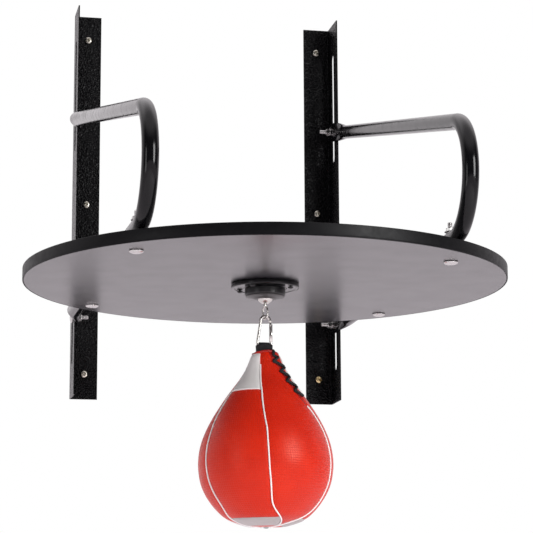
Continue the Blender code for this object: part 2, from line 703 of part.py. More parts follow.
def rivet():
    """The gate's pin, with a low head at each end outside the gate's cheeks."""
    head = 0.0012
    half = 0.0022
    shape = revolve([(0, -half - 0.0004), (head, -half - 0.0004), (head, -half), (GATE_PIN_RADIUS, -half),
                     (GATE_PIN_RADIUS, half), (head, half), (head, half + 0.0004), (0, half + 0.0004)], 10)
    return placed(shape, clip_point(GATE_PIN_X, GATE_PIN_Z), Matrix.Rotation(math.radians(90), 4, 'X'))


def make_gate():
    """A pressed channel that straddles the tongue, open towards the inside of the clip."""
    cheek = 0.0008
    half_y = 0.0010 + cheek
    back = 0.0008
    inner_y = half_y - cheek
    left = GATE_PIN_X - 0.0012
    right = GATE_PIN_X + 0.0026
    section = [(left, -half_y), (right - 0.0005, -half_y), (right, -half_y + 0.0005), (right, half_y - 0.0005),
               (right - 0.0005, half_y), (left, half_y), (left, inner_y), (right - back, inner_y),
               (right - back, -inner_y), (left, -inner_y)]
    low = GATE_PIN_Z - GATE_LENGTH
    gate = add_piece("clip_gate", "gate", "chrome",
                     loft([[(x, BOARD_CENTRE_Y + y, below(z)) for x, y in section]
                           for z in (low, GATE_PIN_Z + 0.0013)]))
    cut(gate, "gate", "clip_gate_hole", gate_pin(GATE_PIN_RADIUS + 0.0001, 0.004))
    # The spring wire lies in the channel, below the tongue.
    spring = wire([clip_point(GATE_PIN_X - 0.0002, GATE_PIN_Z - 0.0021),
                   clip_point(GATE_PIN_X + 0.0001, GATE_PIN_Z - 0.0070),
                   clip_point(GATE_PIN_X - 0.0002, GATE_PIN_Z - 0.0120),
                   clip_point(GATE_PIN_X - 0.0006, GATE_PIN_Z - 0.0165)], 0.00028, 6)
    add_piece("clip_gate_spring", "gate", "chrome", spring)


# ---------------------------------------------------------------------------------- bag
def bag_curve(offset=0.0):
    """The bag's outline moved inwards by offset, from the mouth to the bottom."""
    curve = [Vector(point) for point in BAG_OUTLINE]
    moved = []
    for k, point in enumerate(curve):
        tangent = (curve[min(k + 1, len(curve) - 1)] - curve[max(k - 1, 0)]).normalized()
        inwards = Vector((tangent.y, -tangent.x))
        moved.append(point + inwards * offset)
    return moved


def seam_twist(height):
    """Degrees that the seams are turned at a height."""
    for (high, above), (low, under) in zip(SEAM_TWIST, SEAM_TWIST[1:]):
        if height >= low:
            return above + (under - above) * (high - height) / (high - low)
    return SEAM_TWIST[-1][1]


def bag_point(point, angle_deg, along=0.0):
    """World place of a (radius, height) point of the outline, at an angle from the seams' zero.
    along shifts it round the bag, in metres."""
    angle = math.radians(angle_deg + seam_twist(point[1]))
    angle += along / max(point[0], 0.002)
    # Angle 0 faces -Y, and positive angles turn towards +X.
    return Vector((point[0] * math.sin(angle), BOARD_CENTRE_Y - point[0] * math.cos(angle), below(point[1])))


def make_bag_cover():
    outer = bag_curve()
    inner = bag_curve(LEATHER)
    profile = [(p.x, p.y) for p in outer] + [(max(p.x, VALVE_RADIUS + GAP), p.y) for p in reversed(inner)]
    profile[len(outer) - 1] = (VALVE_RADIUS + GAP, outer[-1].y)
    cover = revolve(profile, BAG_SEGMENTS, closed=True)
    add_piece("bag_cover", "bag", "red_leather", placed(cover, SWIVEL_AXIS), 80)


def make_bag_bladder():
    stem_hole = 0.0024
    top = (0.0, -0.1130)
    outer = [p for p in bag_curve(LEATHER + 0.0006) if p.y < -0.1200]
    inner = [p for p in bag_curve(LEATHER + 0.0006 + BLADDER_WALL) if p.y < -0.1212]
    profile = [top] + [(max(p.x, stem_hole), p.y) for p in outer]
    profile += [(max(p.x, stem_hole), p.y) for p in reversed(inner)] + [(0.0, top[1] - BLADDER_WALL)]
    bladder = revolve(profile, BAG_SEGMENTS)
    add_piece("bag_bladder", "bag", "bladder_rubber", placed(bladder, SWIVEL_AXIS), 80)

    bottom = BAG_OUTLINE[-1][1]
    valve = revolve([(0, bottom - 0.0016), (0.0022, bottom - 0.0016), (0.0030, bottom - 0.0003),
                     (VALVE_RADIUS, bottom - 0.0001), (VALVE_RADIUS, bottom + LEATHER - 0.0002),
                     (0.0020, bottom + LEATHER + 0.0002), (0.0020, bottom + 0.0120), (0, bottom + 0.0120)], 12)
    add_piece("bag_valve", "bag", "black_rubber", placed(valve, SWIVEL_AXIS))


def make_bag_loop():
    """Webbing folded over the clip's bar, narrowed where the bar gathers it."""
    inside = LOOP_INNER_RADIUS
    outside = inside + WEBBING
    neck = 0.0010
    shoulder = CLIP_BAR - 0.0062
    left_in = [(-inside, CLIP_BAR), (-neck, shoulder), (-neck, LOOP_BOTTOM)]
    left_out = [(-neck - WEBBING, LOOP_BOTTOM), (-neck - WEBBING, shoulder), (-outside, CLIP_BAR)]
    right_out = [(-y, z) for y, z in reversed(left_out)]
    right_in = [(-y, z) for y, z in reversed(left_in)]
    outline = left_out + arc((0, CLIP_BAR), outside, 180, 0, 8)[1:-1] + right_out
    outline += right_in + arc((0, CLIP_BAR), inside, 0, 180, 8)[1:-1] + left_in
    sections = []
    for share in (-1, 0, 1):
        section = []
        for y, z in outline:
            spread = min(max(1 - (z - CLIP_BAR) / 0.0012, 0.0), 1.0)
            width = LOOP_WIDTH_AT_CLIP + (LOOP_WIDTH - LOOP_WIDTH_AT_CLIP) * spread
            section.append((LOOP_CENTRE_X + share * width / 2, BOARD_CENTRE_Y + y, below(z)))
        sections.append(section)
    add_piece("bag_loop", "bag", "black_webbing", loft(sections), 60)


def surface_shell(rows, columns, filled, thickness, lift=GAP):
    """A thin closed shell round the bag, over the cells where filled(row, column) is true."""
    layers = (bag_curve(-lift), bag_curve(-lift - thickness))
    shape = bmesh.new()
    corners = {}

    def corner(layer, i, j):
        j %= len(columns)
        if (layer, i, j) not in corners:
            corners[layer, i, j] = shape.verts.new(bag_point(layers[layer][i], *columns[j]))
        return corners[layer, i, j]

    cells = {(i, j) for i in rows for j in range(len(columns)) if filled(i, j)}
    for i, j in sorted(cells):
        loop = ((i, j), (i, j + 1), (i + 1, j + 1), (i + 1, j))
        beyond = ((i - 1, j), (i, j + 1), (i + 1, j), (i, j - 1))
        for layer in (0, 1):
            shape.faces.new([corner(layer, *place) for place in loop])
        for k, (m, n) in enumerate(beyond):
            if (m, n % len(columns)) not in cells:
                first, second = loop[k], loop[(k + 1) % 4]
                shape.faces.new((corner(0, *first), corner(0, *second), corner(1, *second), corner(1, *first)))
    return facing_out(shape)


def make_bag_piping():
    """One strip down each seam, all meeting in a ring round the valve."""
    last = len(bag_curve()) - 1
    columns = []
    for k, seam in enumerate(SEAM_ANGLES):
        following = SEAM_ANGLES[(k + 1) % len(SEAM_ANGLES)]
        half_panel = ((following - seam) % 360) / 2
        columns += [(seam, -PIPING_WIDTH / 2), (seam, PIPING_WIDTH / 2), (seam + half_panel, 0.0)]

    def filled(i, j):
        seam = SEAM_ANGLES[j // 3]
        first = LACED_ROWS if seam == LACED_SEAM else 1
        return i >= last - 1 or (j % 3 == 0 and i >= first)

    piping = surface_shell(range(last), columns, filled, 0.0010)
    add_piece("bag_piping", "bag", "white_piping", piping, 50)


def make_bag_patches():
    """Grey leather on every second panel, at the bag's shoulder and near the valve."""
    last = len(bag_curve()) - 1
    parts = 6
    side_margin = 0.0022
    for number, k in enumerate((0, 2, 4), 1):
        left = SEAM_ANGLES[k]
        width = (SEAM_ANGLES[(k + 1) % len(SEAM_ANGLES)] - left) % 360
        lace_margin = LACE_REACH + 0.0030 if left == LACED_SEAM else side_margin
        for place, rows, margin in (("shoulder", range(1, 6), lace_margin),
                                    ("bottom", range(last - 3, last - 1), side_margin)):
            columns = []
            for part in range(parts + 1):
                share = part / parts
                columns.append((left + width * share, margin * (1 - share) - side_margin * share))
            patch = surface_shell(rows, columns, lambda i, j: j < parts, 0.0008)
            add_piece(f"bag_{place}_patch_{number}", "bag", "grey_leather", patch, 50)


def at_height(curve, height):
    """The point of a falling (radius, height) curve at a height."""
    for a, b in zip(curve, curve[1:]):
        if b.y <= height:
            return a.lerp(b, (height - a.y) / (b.y - a.y))
    return curve[-1]


def make_bag_lace():
    """A cord that zigzags over the laced seam, from the mouth down the shoulder."""
    curve = bag_curve(-LACE_RADIUS - 2 * GAP)
    steps = 2 * LACE_CROSSINGS
    points = []
    for k in range(steps + 1):
        height = LACE_TOP + (LACE_BOTTOM - LACE_TOP) * k / steps
        lead = LACE_LEAD * max(0.0, (height - LACE_LEAD_BOTTOM) / (LACE_TOP - LACE_LEAD_BOTTOM))
        reach = (-1, 0, 1, 0)[k % 4] * LACE_REACH
        points.append(bag_point(at_height(curve, height), LACED_SEAM + lead, reach))
    add_piece("bag_lace", "bag", "black_webbing", wire(points, LACE_RADIUS, 6), 60)


# --------------------------------------------------------------------------------- main
def main():
    clear_scene()
    make_materials()
    make_pivots()
    for side, word in ((-1, "left"), (1, "right")):
        make_upright(side, word + "_upright")
        make_wall_screws(side, word)
        make_arm(side, word + "_arm")
        make_arm_bolts(side, word)
        make_board_bolts(side, word)
    make_board()
    make_swivel_plate()
    make_swivel_housing()
    make_swivel_inside()
    make_clip()
    make_gate()
    make_bag_cover()
    make_bag_bladder()
    make_bag_loop()
    make_bag_piping()
    make_bag_patches()
    make_bag_lace()


main()
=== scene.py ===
"""Looks for the wall-mounted speed bag platform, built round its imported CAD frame.

Metres, +Z up, in the CAD's own frame: the wall is the plane y = 0 and the board stands out
towards -Y.  The heights named BELOW_..., the clip's and the bag's are measured from the
board's underside, as in the CAD.
"""

import math

import bmesh
import bpy
from mathutils import Matrix, Vector, noise


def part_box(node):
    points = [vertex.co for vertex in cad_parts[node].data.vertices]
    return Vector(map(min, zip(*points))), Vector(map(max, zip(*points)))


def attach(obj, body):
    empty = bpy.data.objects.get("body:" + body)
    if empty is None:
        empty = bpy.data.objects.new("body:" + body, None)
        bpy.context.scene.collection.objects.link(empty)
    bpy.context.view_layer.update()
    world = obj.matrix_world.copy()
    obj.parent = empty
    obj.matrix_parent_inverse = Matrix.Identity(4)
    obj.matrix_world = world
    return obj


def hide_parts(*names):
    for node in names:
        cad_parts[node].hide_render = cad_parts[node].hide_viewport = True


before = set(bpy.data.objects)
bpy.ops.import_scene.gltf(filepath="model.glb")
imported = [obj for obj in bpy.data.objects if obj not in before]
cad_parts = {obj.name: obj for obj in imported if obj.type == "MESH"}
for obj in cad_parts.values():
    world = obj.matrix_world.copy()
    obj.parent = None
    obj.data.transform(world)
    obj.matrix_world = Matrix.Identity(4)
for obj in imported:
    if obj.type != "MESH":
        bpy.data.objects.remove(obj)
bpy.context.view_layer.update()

# --------------------------------------------- sizes, from the frame's boxes or as in the CAD
SIDES = (("left", -1), ("right", 1))
BOARD_LOW, BOARD_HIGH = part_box("board_edge_band")
BOARD_RADIUS = (BOARD_HIGH.x - BOARD_LOW.x) / 2
BOARD_THICKNESS = BOARD_HIGH.z - BOARD_LOW.z
AXIS = Vector((0.0, (BOARD_LOW.y + BOARD_HIGH.y) / 2, BOARD_LOW.z))   # the swivel's, at the underside
GAP = 0.0003
BAND = 0.0012

TUBE_RADIUS = 0.010
BEND_RADIUS = 0.0692
PADDLE_THICKNESS = 0.004
PADDLE_HEIGHT = 0.028
ARM_X = 0.2030                    # the tubes' distance from the middle, at the upper bolts
ARM_TOE_IN = 0.0220               # sideways run of the arms, per metre towards the front

BOLT_RADIUS = 0.0030
THREAD_PITCH = 0.0010
BOLT_HEAD_HEIGHT = 0.0036
BOLT_HEAD_RADIUS = 0.0088
NUT_CORNER = 0.0057
ARM_THREAD = 0.0150               # length of thread on the arms' and the board's bolts
BOARD_THREAD = 0.0160
WALL_SCREW_HEAD = (0.0050, 0.0026)                  # radius and height
WALL_SCREW_THREAD = {"outer": 0.0024, "pitch": 0.0018, "depth": 0.0006, "sides": 20, "point": 0.006}
FLANGE_SCREW_HEAD = (0.0034, 0.0021)
FLANGE_SCREW_THREAD = {"outer": 0.0019, "pitch": 0.0013, "depth": 0.0004, "sides": 16, "point": 0.004}

FLANGE_RADIUS = 0.043
FLANGE_THICKNESS = 0.0055
HOUSING_RADIUS = 0.0256
SEAT_RADIUS = 0.0167
BALL_RADIUS = 0.0105
LIP_RADIUS = 0.0098
EYE_WIRE = 0.00125
EYE_HALF_WIDTH = 0.0048
EYE_STEM = 0.0021
EYE_TURN = math.radians(25)
CLIP_WIRE = 0.0018
CLIP_TOP_RADIUS = 0.0060
CLIP_CORNER = 0.0033
CLIP_LEFT = -0.0103
CLIP_RIGHT = 0.0073
PIN_X = 0.0065
PIN_RADIUS = 0.0007
GATE_LENGTH = 0.0212
WEBBING = 0.0015
LOOP_WIDTH = 0.0205
LOOP_NECK_WIDTH = 0.0135
LOOP_CENTRE_X = -0.0015
LOOP_INNER_RADIUS = 0.0024

# Heights from the board's underside.
BELOW_HOUSING = -0.0155
BELOW_CAP = -0.0195
BELOW_BALL_CENTRE = -0.0150
BELOW_EYE_TOP = -0.0292
BELOW_EYE_BOTTOM = -0.04445
BELOW_CLIP_BAR = -0.0782
BELOW_PIN = -0.0525
BELOW_LOOP = -0.1040

# The bag's outline, (radius, height) from its mouth to its bottom.
BAG_OUTLINE = (
    (0.0157, -0.0884), (0.0173, -0.0910), (0.0192, -0.0950), (0.0211, -0.1005), (0.0269, -0.1127),
    (0.0345, -0.1248), (0.0450, -0.1388), (0.0552, -0.1535), (0.0656, -0.1700), (0.0741, -0.1865),
    (0.0801, -0.2030), (0.0832, -0.2200), (0.0832, -0.2360), (0.0796, -0.2540), (0.0708, -0.2715),
    (0.0583, -0.2870), (0.0461, -0.2961), (0.0260, -0.3030), (0.0120, -0.3048), (0.0042, -0.3050),
)
SEAM_ANGLES = (-186, -130, -73, -9, 61, 118)
PANELS = len(SEAM_ANGLES)
LACED = 4                         # which seam is closed with a lace
SEAM_TWIST = ((-0.0885, -22), (-0.1150, -15), (-0.1400, -8), (-0.1900, -1), (-0.2400, 1),
              (-0.2800, 4), (-0.3090, 7))
PANEL_POINT_TOP = -0.2700
PANEL_POINT_BOTTOM = -0.3042
LACE_TOP = -0.0960
LACE_BOTTOM = -0.1475
LACE_LEADS = ((-0.0868, -27), (-0.0975, -20), (-0.1093, -7), (-0.1240, -9), (-0.1480, -9),
              (-0.1660, -2), (-0.1900, 0), (-0.3100, 0))
LACE_CROSSINGS = 8
LACE_START = 26                   # degrees from -Y where the lace comes out of the mouth
LACE_RADIUS = 0.0018
LACE_REACH = 0.0052
PIPING_TOPS = (-0.0920, -0.0920, -0.1385, -0.1040, -0.1580, -0.0920)
MOUTH = -0.0888                   # the rolled rim's height
SHOULDER_SPAN = (-0.0905, -0.1380)                  # top and bottom of the patches and edges
HEM_SPAN = (-0.1366, -0.1394)
BASE_SPAN = (-0.2955, -0.3040)
LACED_EDGE_SPAN = (-0.0896, -0.1570)
TONGUE_SPAN = (-0.0892, -0.1560)
STITCH_SPAN = (-0.0935, -0.1530)
STITCHES = 26
LEATHER = 0.0022
GRID_PITCH = 0.0030               # of the square grid pressed in the leather
PIPING_RADIUS = 0.00095
VALVE_RADIUS = 0.0036
SEAM_GROOVE = 0.0009              # how far the panels are pulled in at a seam
SEAM_GROOVE_WIDTH = 0.0026
PANEL_PUFF = 0.0007               # how far a panel stands out between its seams
PUCKER = 0.00022                  # height of the puckers beside a seam

# ------------------------------------------------------------------------------------- camera
CAMERA_PLACE = Vector((-0.4981, -2.9412, -0.6671))
CAMERA_YAW = 0.1998
CAMERA_PITCH = 0.1920
CAMERA_ROLL = -0.0040
CAMERA_LENS = 136.85
SENSOR_WIDTH = 36.0
FLOOR_HEIGHT = -1.15
FRONT_GLOW, BACK_GLOW, OVERHEAD_GLOW = 0.035, 0.95, 1.15    # the tent's brightness


# --------------------------------------------------------------------------------- materials
# A colour mix has its own sockets, after those of the float and vector kinds.
MIX_DARK, MIX_LIGHT, MIX_RESULT = 6, 7, 2


def node(tree, kind, inputs=None, **attributes):
    """Add a shader node.  A socket among the inputs is linked, and anything else is set."""
    made = tree.nodes.new("ShaderNode" + kind)
    for key, value in attributes.items():
        setattr(made, key, value)
    for key, value in (inputs or {}).items():
        if isinstance(value, bpy.types.NodeSocket):
            tree.links.new(value, made.inputs[key])
        else:
            made.inputs[key].default_value = value
    return made


def new_finish(name, colour, roughness, metallic=0.0, **sockets):
    """A material with its Principled BSDF's constants set; returns (material, tree, shader)."""
    material = bpy.data.materials.new(name)
    material.use_nodes = True
    tree = material.node_tree
    shader = tree.nodes["Principled BSDF"]
    shader.inputs["Base Color"].default_value = (*colour, 1.0)
    shader.inputs["Roughness"].default_value = roughness
    shader.inputs["Metallic"].default_value = metallic
    for key, value in sockets.items():
        shader.inputs[key.replace("_", " ")].default_value = value
    return material, tree, shader


def rest_coordinates(tree):
    return node(tree, "TexCoord").outputs["Object"]


def metre_uv(tree):
    return node(tree, "TexCoord").outputs["UV"]


def noise_at(tree, vector, scale, detail=3.0):
    return node(tree, "TexNoise", {"Vector": vector, "Scale": scale, "Detail": detail}).outputs["Fac"]


def ranged(tree, value, low=0.0, high=1.0):
    """Spread a noise, which seldom leaves 0.3 to 0.7, over low to high."""
    return node(tree, "MapRange", {"Value": value, "From Min": 0.3, "From Max": 0.7,
                                   "To Min": low, "To Max": high}).outputs["Result"]


def vary_colour(tree, shader, value, dark, light):
    mix = node(tree, "Mix", {"Factor": value, MIX_DARK: (*dark, 1.0), MIX_LIGHT: (*light, 1.0)},
               data_type='RGBA')
    tree.links.new(mix.outputs[MIX_RESULT], shader.inputs["Base Color"])


def add_bump(tree, shader, height, distance, strength, under=None):
    inputs = {"Height": height, "Distance": distance, "Strength": strength}
    if under:
        inputs["Normal"] = under
    normal = node(tree, "Bump", inputs).outputs["Normal"]
    tree.links.new(normal, shader.inputs["Normal"])
    return normal


def set_roughness(tree, shader, value, low, high):
    tree.links.new(ranged(tree, value, low, high), shader.inputs["Roughness"])


def plain_finish(name, colour, roughness, sheen, grain=None, metallic=0.0, **sockets):
    """Roughness varied by (noise scale, low, high), over a grain of (scale, detail, depth, strength)."""
    material, tree, shader = new_finish(name, colour, roughness, metallic, **sockets)
    rest = rest_coordinates(tree)
    if grain:
        scale, detail, depth, strength = grain
        add_bump(tree, shader, noise_at(tree, rest, scale, detail), depth, strength)
    scale, low, high = sheen
    set_roughness(tree, shader, noise_at(tree, rest, scale), low, high)
    return material


def make_painted_finishes():
    hammered, tree, shader = new_finish("hammered_powder_coat", (0.0016, 0.0016, 0.0020), 0.26,
                                        Specular_IOR_Level=0.12)
    rest = rest_coordinates(tree)
    cells = node(tree, "TexVoronoi", {"Vector": rest, "Scale": 430.0, "Smoothness": 0.5},
                 feature='SMOOTH_F1').outputs["Distance"]
    normal = add_bump(tree, shader, cells, 0.0016, 0.8)
    add_bump(tree, shader, noise_at(tree, rest, 160.0), 0.0006, 0.3, normal)
    set_roughness(tree, shader, noise_at(tree, rest, 90.0), 0.20, 0.30)

    laminate, tree, shader = new_finish("black_laminate", (0.0155, 0.0145, 0.0175), 0.25,
                                        Specular_IOR_Level=0.85)
    rest = rest_coordinates(tree)
    cloud = noise_at(tree, rest, 26.0, 2.0)
    vary_colour(tree, shader, ranged(tree, cloud), (0.0150, 0.0140, 0.0170),
                (0.0165, 0.0155, 0.0185))
    add_bump(tree, shader, noise_at(tree, rest, 700.0, 2.0), 0.00002, 0.12)
    set_roughness(tree, shader, cloud, 0.24, 0.27)

    edging, tree, shader = new_finish("black_edging", (0.0030, 0.0030, 0.0036), 0.42,
                                      Specular_IOR_Level=0.14)
    rest = rest_coordinates(tree)
    rings = node(tree, "Mapping", {"Vector": rest, "Scale": (60.0, 60.0, 900.0)}).outputs["Vector"]
    add_bump(tree, shader, noise_at(tree, rings, 1.0), 0.00005, 0.35)
    set_roughness(tree, shader, noise_at(tree, rest, 120.0), 0.38, 0.48)

    return {
        "hammered_powder_coat": hammered,
        "gloss_black_paint": plain_finish("gloss_black_paint", (0.0030, 0.0030, 0.0035), 0.11,
                                          (60.0, 0.10, 0.20), (240.0, 1.0, 0.0001, 0.25),
                                          Specular_IOR_Level=0.24),
        "black_laminate": laminate,
        "black_edging": edging,
        "housing_black": plain_finish("housing_black", (0.0050, 0.0050, 0.0055), 0.32, (300.0, 0.28, 0.38)),
    }


def make_metal(name, colour, roughness, brushed):
    metal, tree, shader = new_finish(name, colour, roughness, 1.0)
    rest = rest_coordinates(tree)
    cloud = noise_at(tree, rest, 420.0, 4.0)
    vary_colour(tree, shader, ranged(tree, cloud), tuple(c * 0.82 for c in colour), colour)
    set_roughness(tree, shader, cloud, roughness * 0.8, roughness * 1.5)
    add_bump(tree, shader, noise_at(tree, rest, 2600.0, 2.0), 0.00002, brushed)
    return metal


def make_metal_finishes():
    return {
        "swivel_cap_steel": plain_finish("swivel_cap_steel", (0.055, 0.053, 0.052), 0.34,
                                         (500.0, 0.28, 0.44), (1500.0, 2.0, 0.00003, 0.4), 0.85),
        "zinc_hardware": make_metal("zinc_hardware", (0.62, 0.61, 0.60), 0.22, 0.35),
        "yellow_screw": make_metal("yellow_screw", (0.80, 0.63, 0.34), 0.24, 0.35),
        "wall_screw_steel": make_metal("wall_screw_steel", (0.74, 0.71, 0.62), 0.24, 0.35),
        "bright_plated_steel": make_metal("bright_plated_steel", (0.64, 0.62, 0.59), 0.16, 0.15),
    }


def make_leather(name, colour, dark, roughness, grid_height, haze=(1.0, 1.0, 1.0)):
    """Coated leather: a fine pressed square grid, with a grain between its lines."""
    leather, tree, shader = new_finish(name, colour, roughness, Specular_IOR_Level=0.34, Coat_Weight=0.16,
                                       Coat_Roughness=0.34, Specular_Tint=(*haze, 1.0))
    rest = rest_coordinates(tree)
    grid = node(tree, "TexBrick", {"Vector": metre_uv(tree), "Scale": 1.0, "Mortar Size": 0.00042,
                                   "Mortar Smooth": 1.0, "Bias": 0.0, "Brick Width": GRID_PITCH,
                                   "Row Height": GRID_PITCH}, offset=0.0).outputs["Fac"]
    pressed = node(tree, "Math", {0: 1.0, 1: grid}, operation='SUBTRACT').outputs[0]
    normal = add_bump(tree, shader, pressed, grid_height, 0.85)
    pebbles = node(tree, "TexVoronoi", {"Vector": rest, "Scale": 1300.0}, feature='F1').outputs["Distance"]
    normal = add_bump(tree, shader, pebbles, 0.00010, 0.22, normal)
    add_bump(tree, shader, noise_at(tree, rest, 55.0, 3.0), 0.0008, 0.10, normal)
    vary_colour(tree, shader, ranged(tree, noise_at(tree, rest, 34.0, 5.0)), dark, colour)
    set_roughness(tree, shader, noise_at(tree, rest, 260.0), roughness * 0.85, roughness * 1.2)
    return leather


def make_soft_finishes():
    piping, tree, shader = new_finish("white_piping", (0.86, 0.855, 0.84), 0.40)
    rest = rest_coordinates(tree)
    add_bump(tree, shader, noise_at(tree, rest, 900.0), 0.00008, 0.35)
    vary_colour(tree, shader, ranged(tree, noise_at(tree, rest, 70.0)), (0.80, 0.79, 0.77),
                (0.88, 0.875, 0.86))

    lace, tree, shader = new_finish("black_lace", (0.006, 0.006, 0.007), 0.66)
    braid = metre_uv(tree)
    strands = [node(tree, "TexWave", {"Vector": node(tree, "Mapping", {
        "Vector": braid, "Rotation": (0, 0, math.radians(turn))}).outputs["Vector"], "Scale": 330.0},
        wave_type='BANDS', bands_direction='X').outputs["Fac"] for turn in (38, -38)]
    crossed = node(tree, "Math", {0: strands[0], 1: strands[1]}, operation='MAXIMUM').outputs[0]
    add_bump(tree, shader, crossed, 0.00030, 0.8)
    vary_colour(tree, shader, crossed, (0.003, 0.003, 0.004), (0.012, 0.012, 0.013))

    webbing, tree, shader = new_finish("black_webbing", (0.006, 0.006, 0.007), 0.70)
    weave = metre_uv(tree)
    ribs = node(tree, "TexBrick", {"Vector": weave, "Scale": 1.0, "Mortar Size": 0.00012,
                                   "Mortar Smooth": 1.0, "Brick Width": 0.0016, "Row Height": 0.0007},
                offset=0.5).outputs["Fac"]
    raised = node(tree, "Math", {0: 1.0, 1: ribs}, operation='SUBTRACT').outputs[0]
    add_bump(tree, shader, raised, 0.00030, 0.8)
    vary_colour(tree, shader, raised, (0.003, 0.003, 0.004), (0.012, 0.012, 0.014))

    made = {"white_piping": piping, "black_lace": lace, "black_webbing": webbing}
    for name, colour, rough in (("bladder_rubber", (0.020, 0.018, 0.016), 0.62),
                                ("valve_rubber", (0.012, 0.012, 0.012), 0.50),
                                ("nylon", (0.72, 0.71, 0.66), 0.40)):
        made[name] = plain_finish(name, colour, rough, (300.0, rough * 0.85, rough * 1.15),
                                  (1400.0, 3.0, 0.00006, 0.4))
    made["red_leather"] = make_leather("red_leather", (0.68, 0.019, 0.004), (0.61, 0.014, 0.003), 0.40,
                                       0.00048, (1.0, 0.62, 0.42))
    made["grey_leather"] = make_leather("grey_leather", (0.74, 0.72, 0.70), (0.68, 0.66, 0.64), 0.42, 0.00003)
    # A darker copy of the grey leather for the base patches: painted shade, standing for the shadow they hang
    # in.
    made["painted_shade_grey_base"] = make_leather("painted_shade_grey_base", (0.42, 0.38, 0.37), (0.38, 0.345, 0.335), 0.42, 0.00003)
    made["red_trim"] = make_leather("red_trim", (0.40, 0.010, 0.006), (0.32, 0.007, 0.005), 0.40, 0.00002)
    return made


FINISHES = {**make_painted_finishes(), **make_metal_finishes(), **make_soft_finishes()}


# ------------------------------------------------------------------------------ shape helpers
def mesh_of(shape, name):
    """Turn a bmesh into a mesh with its normals outwards, and free it."""
    bmesh.ops.recalc_face_normals(shape, faces=shape.faces)
    mesh = bpy.data.meshes.new(name)
    shape.to_mesh(mesh)
    shape.free()
    return mesh


def new_object(name, data):
    item = bpy.data.objects.new(name, data)
    bpy.context.scene.collection.objects.link(item)
    return item


def turned(degrees, axis):
    return Matrix.Rotation(math.radians(degrees), 4, axis)


def placed(shape, location, turn=None):
    shape.transform(Matrix.Translation(location) @ (turn or Matrix.Identity(4)))
    return shape


def add_piece(name, body, slot, shape, stands_for=(), smooth_angle=35, finish=None):
    """Make a piece of a bmesh in world coordinates, riding on a body."""
    mesh = mesh_of(shape, name)
    mesh.shade_smooth()
    mesh.set_sharp_from_angle(angle=math.radians(smooth_angle))
    mesh.materials.append(FINISHES[finish or slot])
    piece = new_object(name, mesh)
    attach(piece, body)
    if stands_for:
        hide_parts(*stands_for)
    return piece


def stand_in(name, body, slot, shape, place=(0, 0, 0), turn=None, **options):
    """Add a piece that stands for the CAD's node of the same name."""
    return add_piece(name + "_shown", body, slot, placed(shape, place, turn), (name,), **options)


def middle(name):
    low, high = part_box(name)
    return (low + high) / 2


def arc(centre, radius, start_deg, end_deg, steps):
    points = []
    for k in range(steps + 1):
        angle = math.radians(start_deg + (end_deg - start_deg) * k / steps)
        points.append((centre[0] + radius * math.cos(angle), centre[1] + radius * math.sin(angle)))
    return points


def circle(radius, height, count):
    return [(radius * math.cos(math.tau * k / count), radius * math.sin(math.tau * k / count), height)
            for k in range(count)]


def rounded(corners, steps):
    """A closed outline of (x, y, corner radius) with its corners rounded off."""
    outline = []
    for k, (x, y, radius) in enumerate(corners):
        corner = Vector((x, y))
        before = Vector(corners[k - 1][:2]) - corner
        after = Vector(corners[(k + 1) % len(corners)][:2]) - corner
        reach = min(radius, before.length * 0.48, after.length * 0.48)
        start = corner + before.normalized() * reach
        end = corner + after.normalized() * reach
        for j in range(steps + 1):
            t = j / steps
            point = start * (1 - t) ** 2 + corner * 2 * t * (1 - t) + end * t ** 2
            outline.append((point.x, point.y))
    return outline


def lathe(profile, segments=48, closed=True):
    """Turn (radius, height) points about Z.  A point on the axis becomes a pole."""
    shape = bmesh.new()
    rings = [[shape.verts.new(point) for point in circle(radius, height, segments if radius else 1)]
             for radius, height in profile]
    pairs = list(zip(rings, rings[1:]))
    if closed:
        pairs.append((rings[-1], rings[0]))
    for a, b in pairs:
        for k in range(segments):
            n = (k + 1) % segments
            corners = (a[k % len(a)], a[n % len(a)], b[n % len(b)], b[k % len(b)])
            shape.faces.new(list(dict.fromkeys(corners)))
    return shape


def loft(sections, closed=False, uv=None):
    """Skin equal loops of points.  uv gives the metric UV of a face's corner from the face's place
    in its section, the corner's side of the face (0 or 1) and the corner's section."""
    shape = bmesh.new()
    rings = [[shape.verts.new(point) for point in section] for section in sections]
    pairs = [(k, k + 1) for k in range(len(rings) - 1)]
    if closed:
        pairs.append((len(rings) - 1, 0))
    else:
        shape.faces.new(rings[0])
        shape.faces.new(rings[-1])
    layer = shape.loops.layers.uv.new("metres") if uv else None
    count = len(rings[0])
    for a, b in pairs:
        for k in range(count):
            n = (k + 1) % count
            face = shape.faces.new((rings[a][k], rings[a][n], rings[b][n], rings[b][k]))
            if layer:
                for loop, (step, row) in zip(face.loops, ((0, a), (1, a), (1, b), (0, b))):
                    loop[layer].uv = uv(k, step, row)
    return shape


def lengths_along(points):
    """The distance run at each of a path's points."""
    run = [0.0]
    for a, b in zip(points, points[1:]):
        run.append(run[-1] + (Vector(b) - Vector(a)).length)
    return run


def path_frames(points, closed, side):
    """(point, side, up) along a path, turned as little as possible from one to the next."""
    frames = []
    last = len(points) - 1
    for k, point in enumerate(points):
        ahead = points[(k + 1) % len(points) if closed else min(k + 1, last)]
        behind = points[k - 1 if closed else max(k - 1, 0)]
        tangent = (ahead - behind).normalized()
        side = tangent.orthogonal() if side is None else side - tangent * side.dot(tangent)
        side = side.normalized()
        frames.append((point, side, tangent.cross(side)))
    return frames


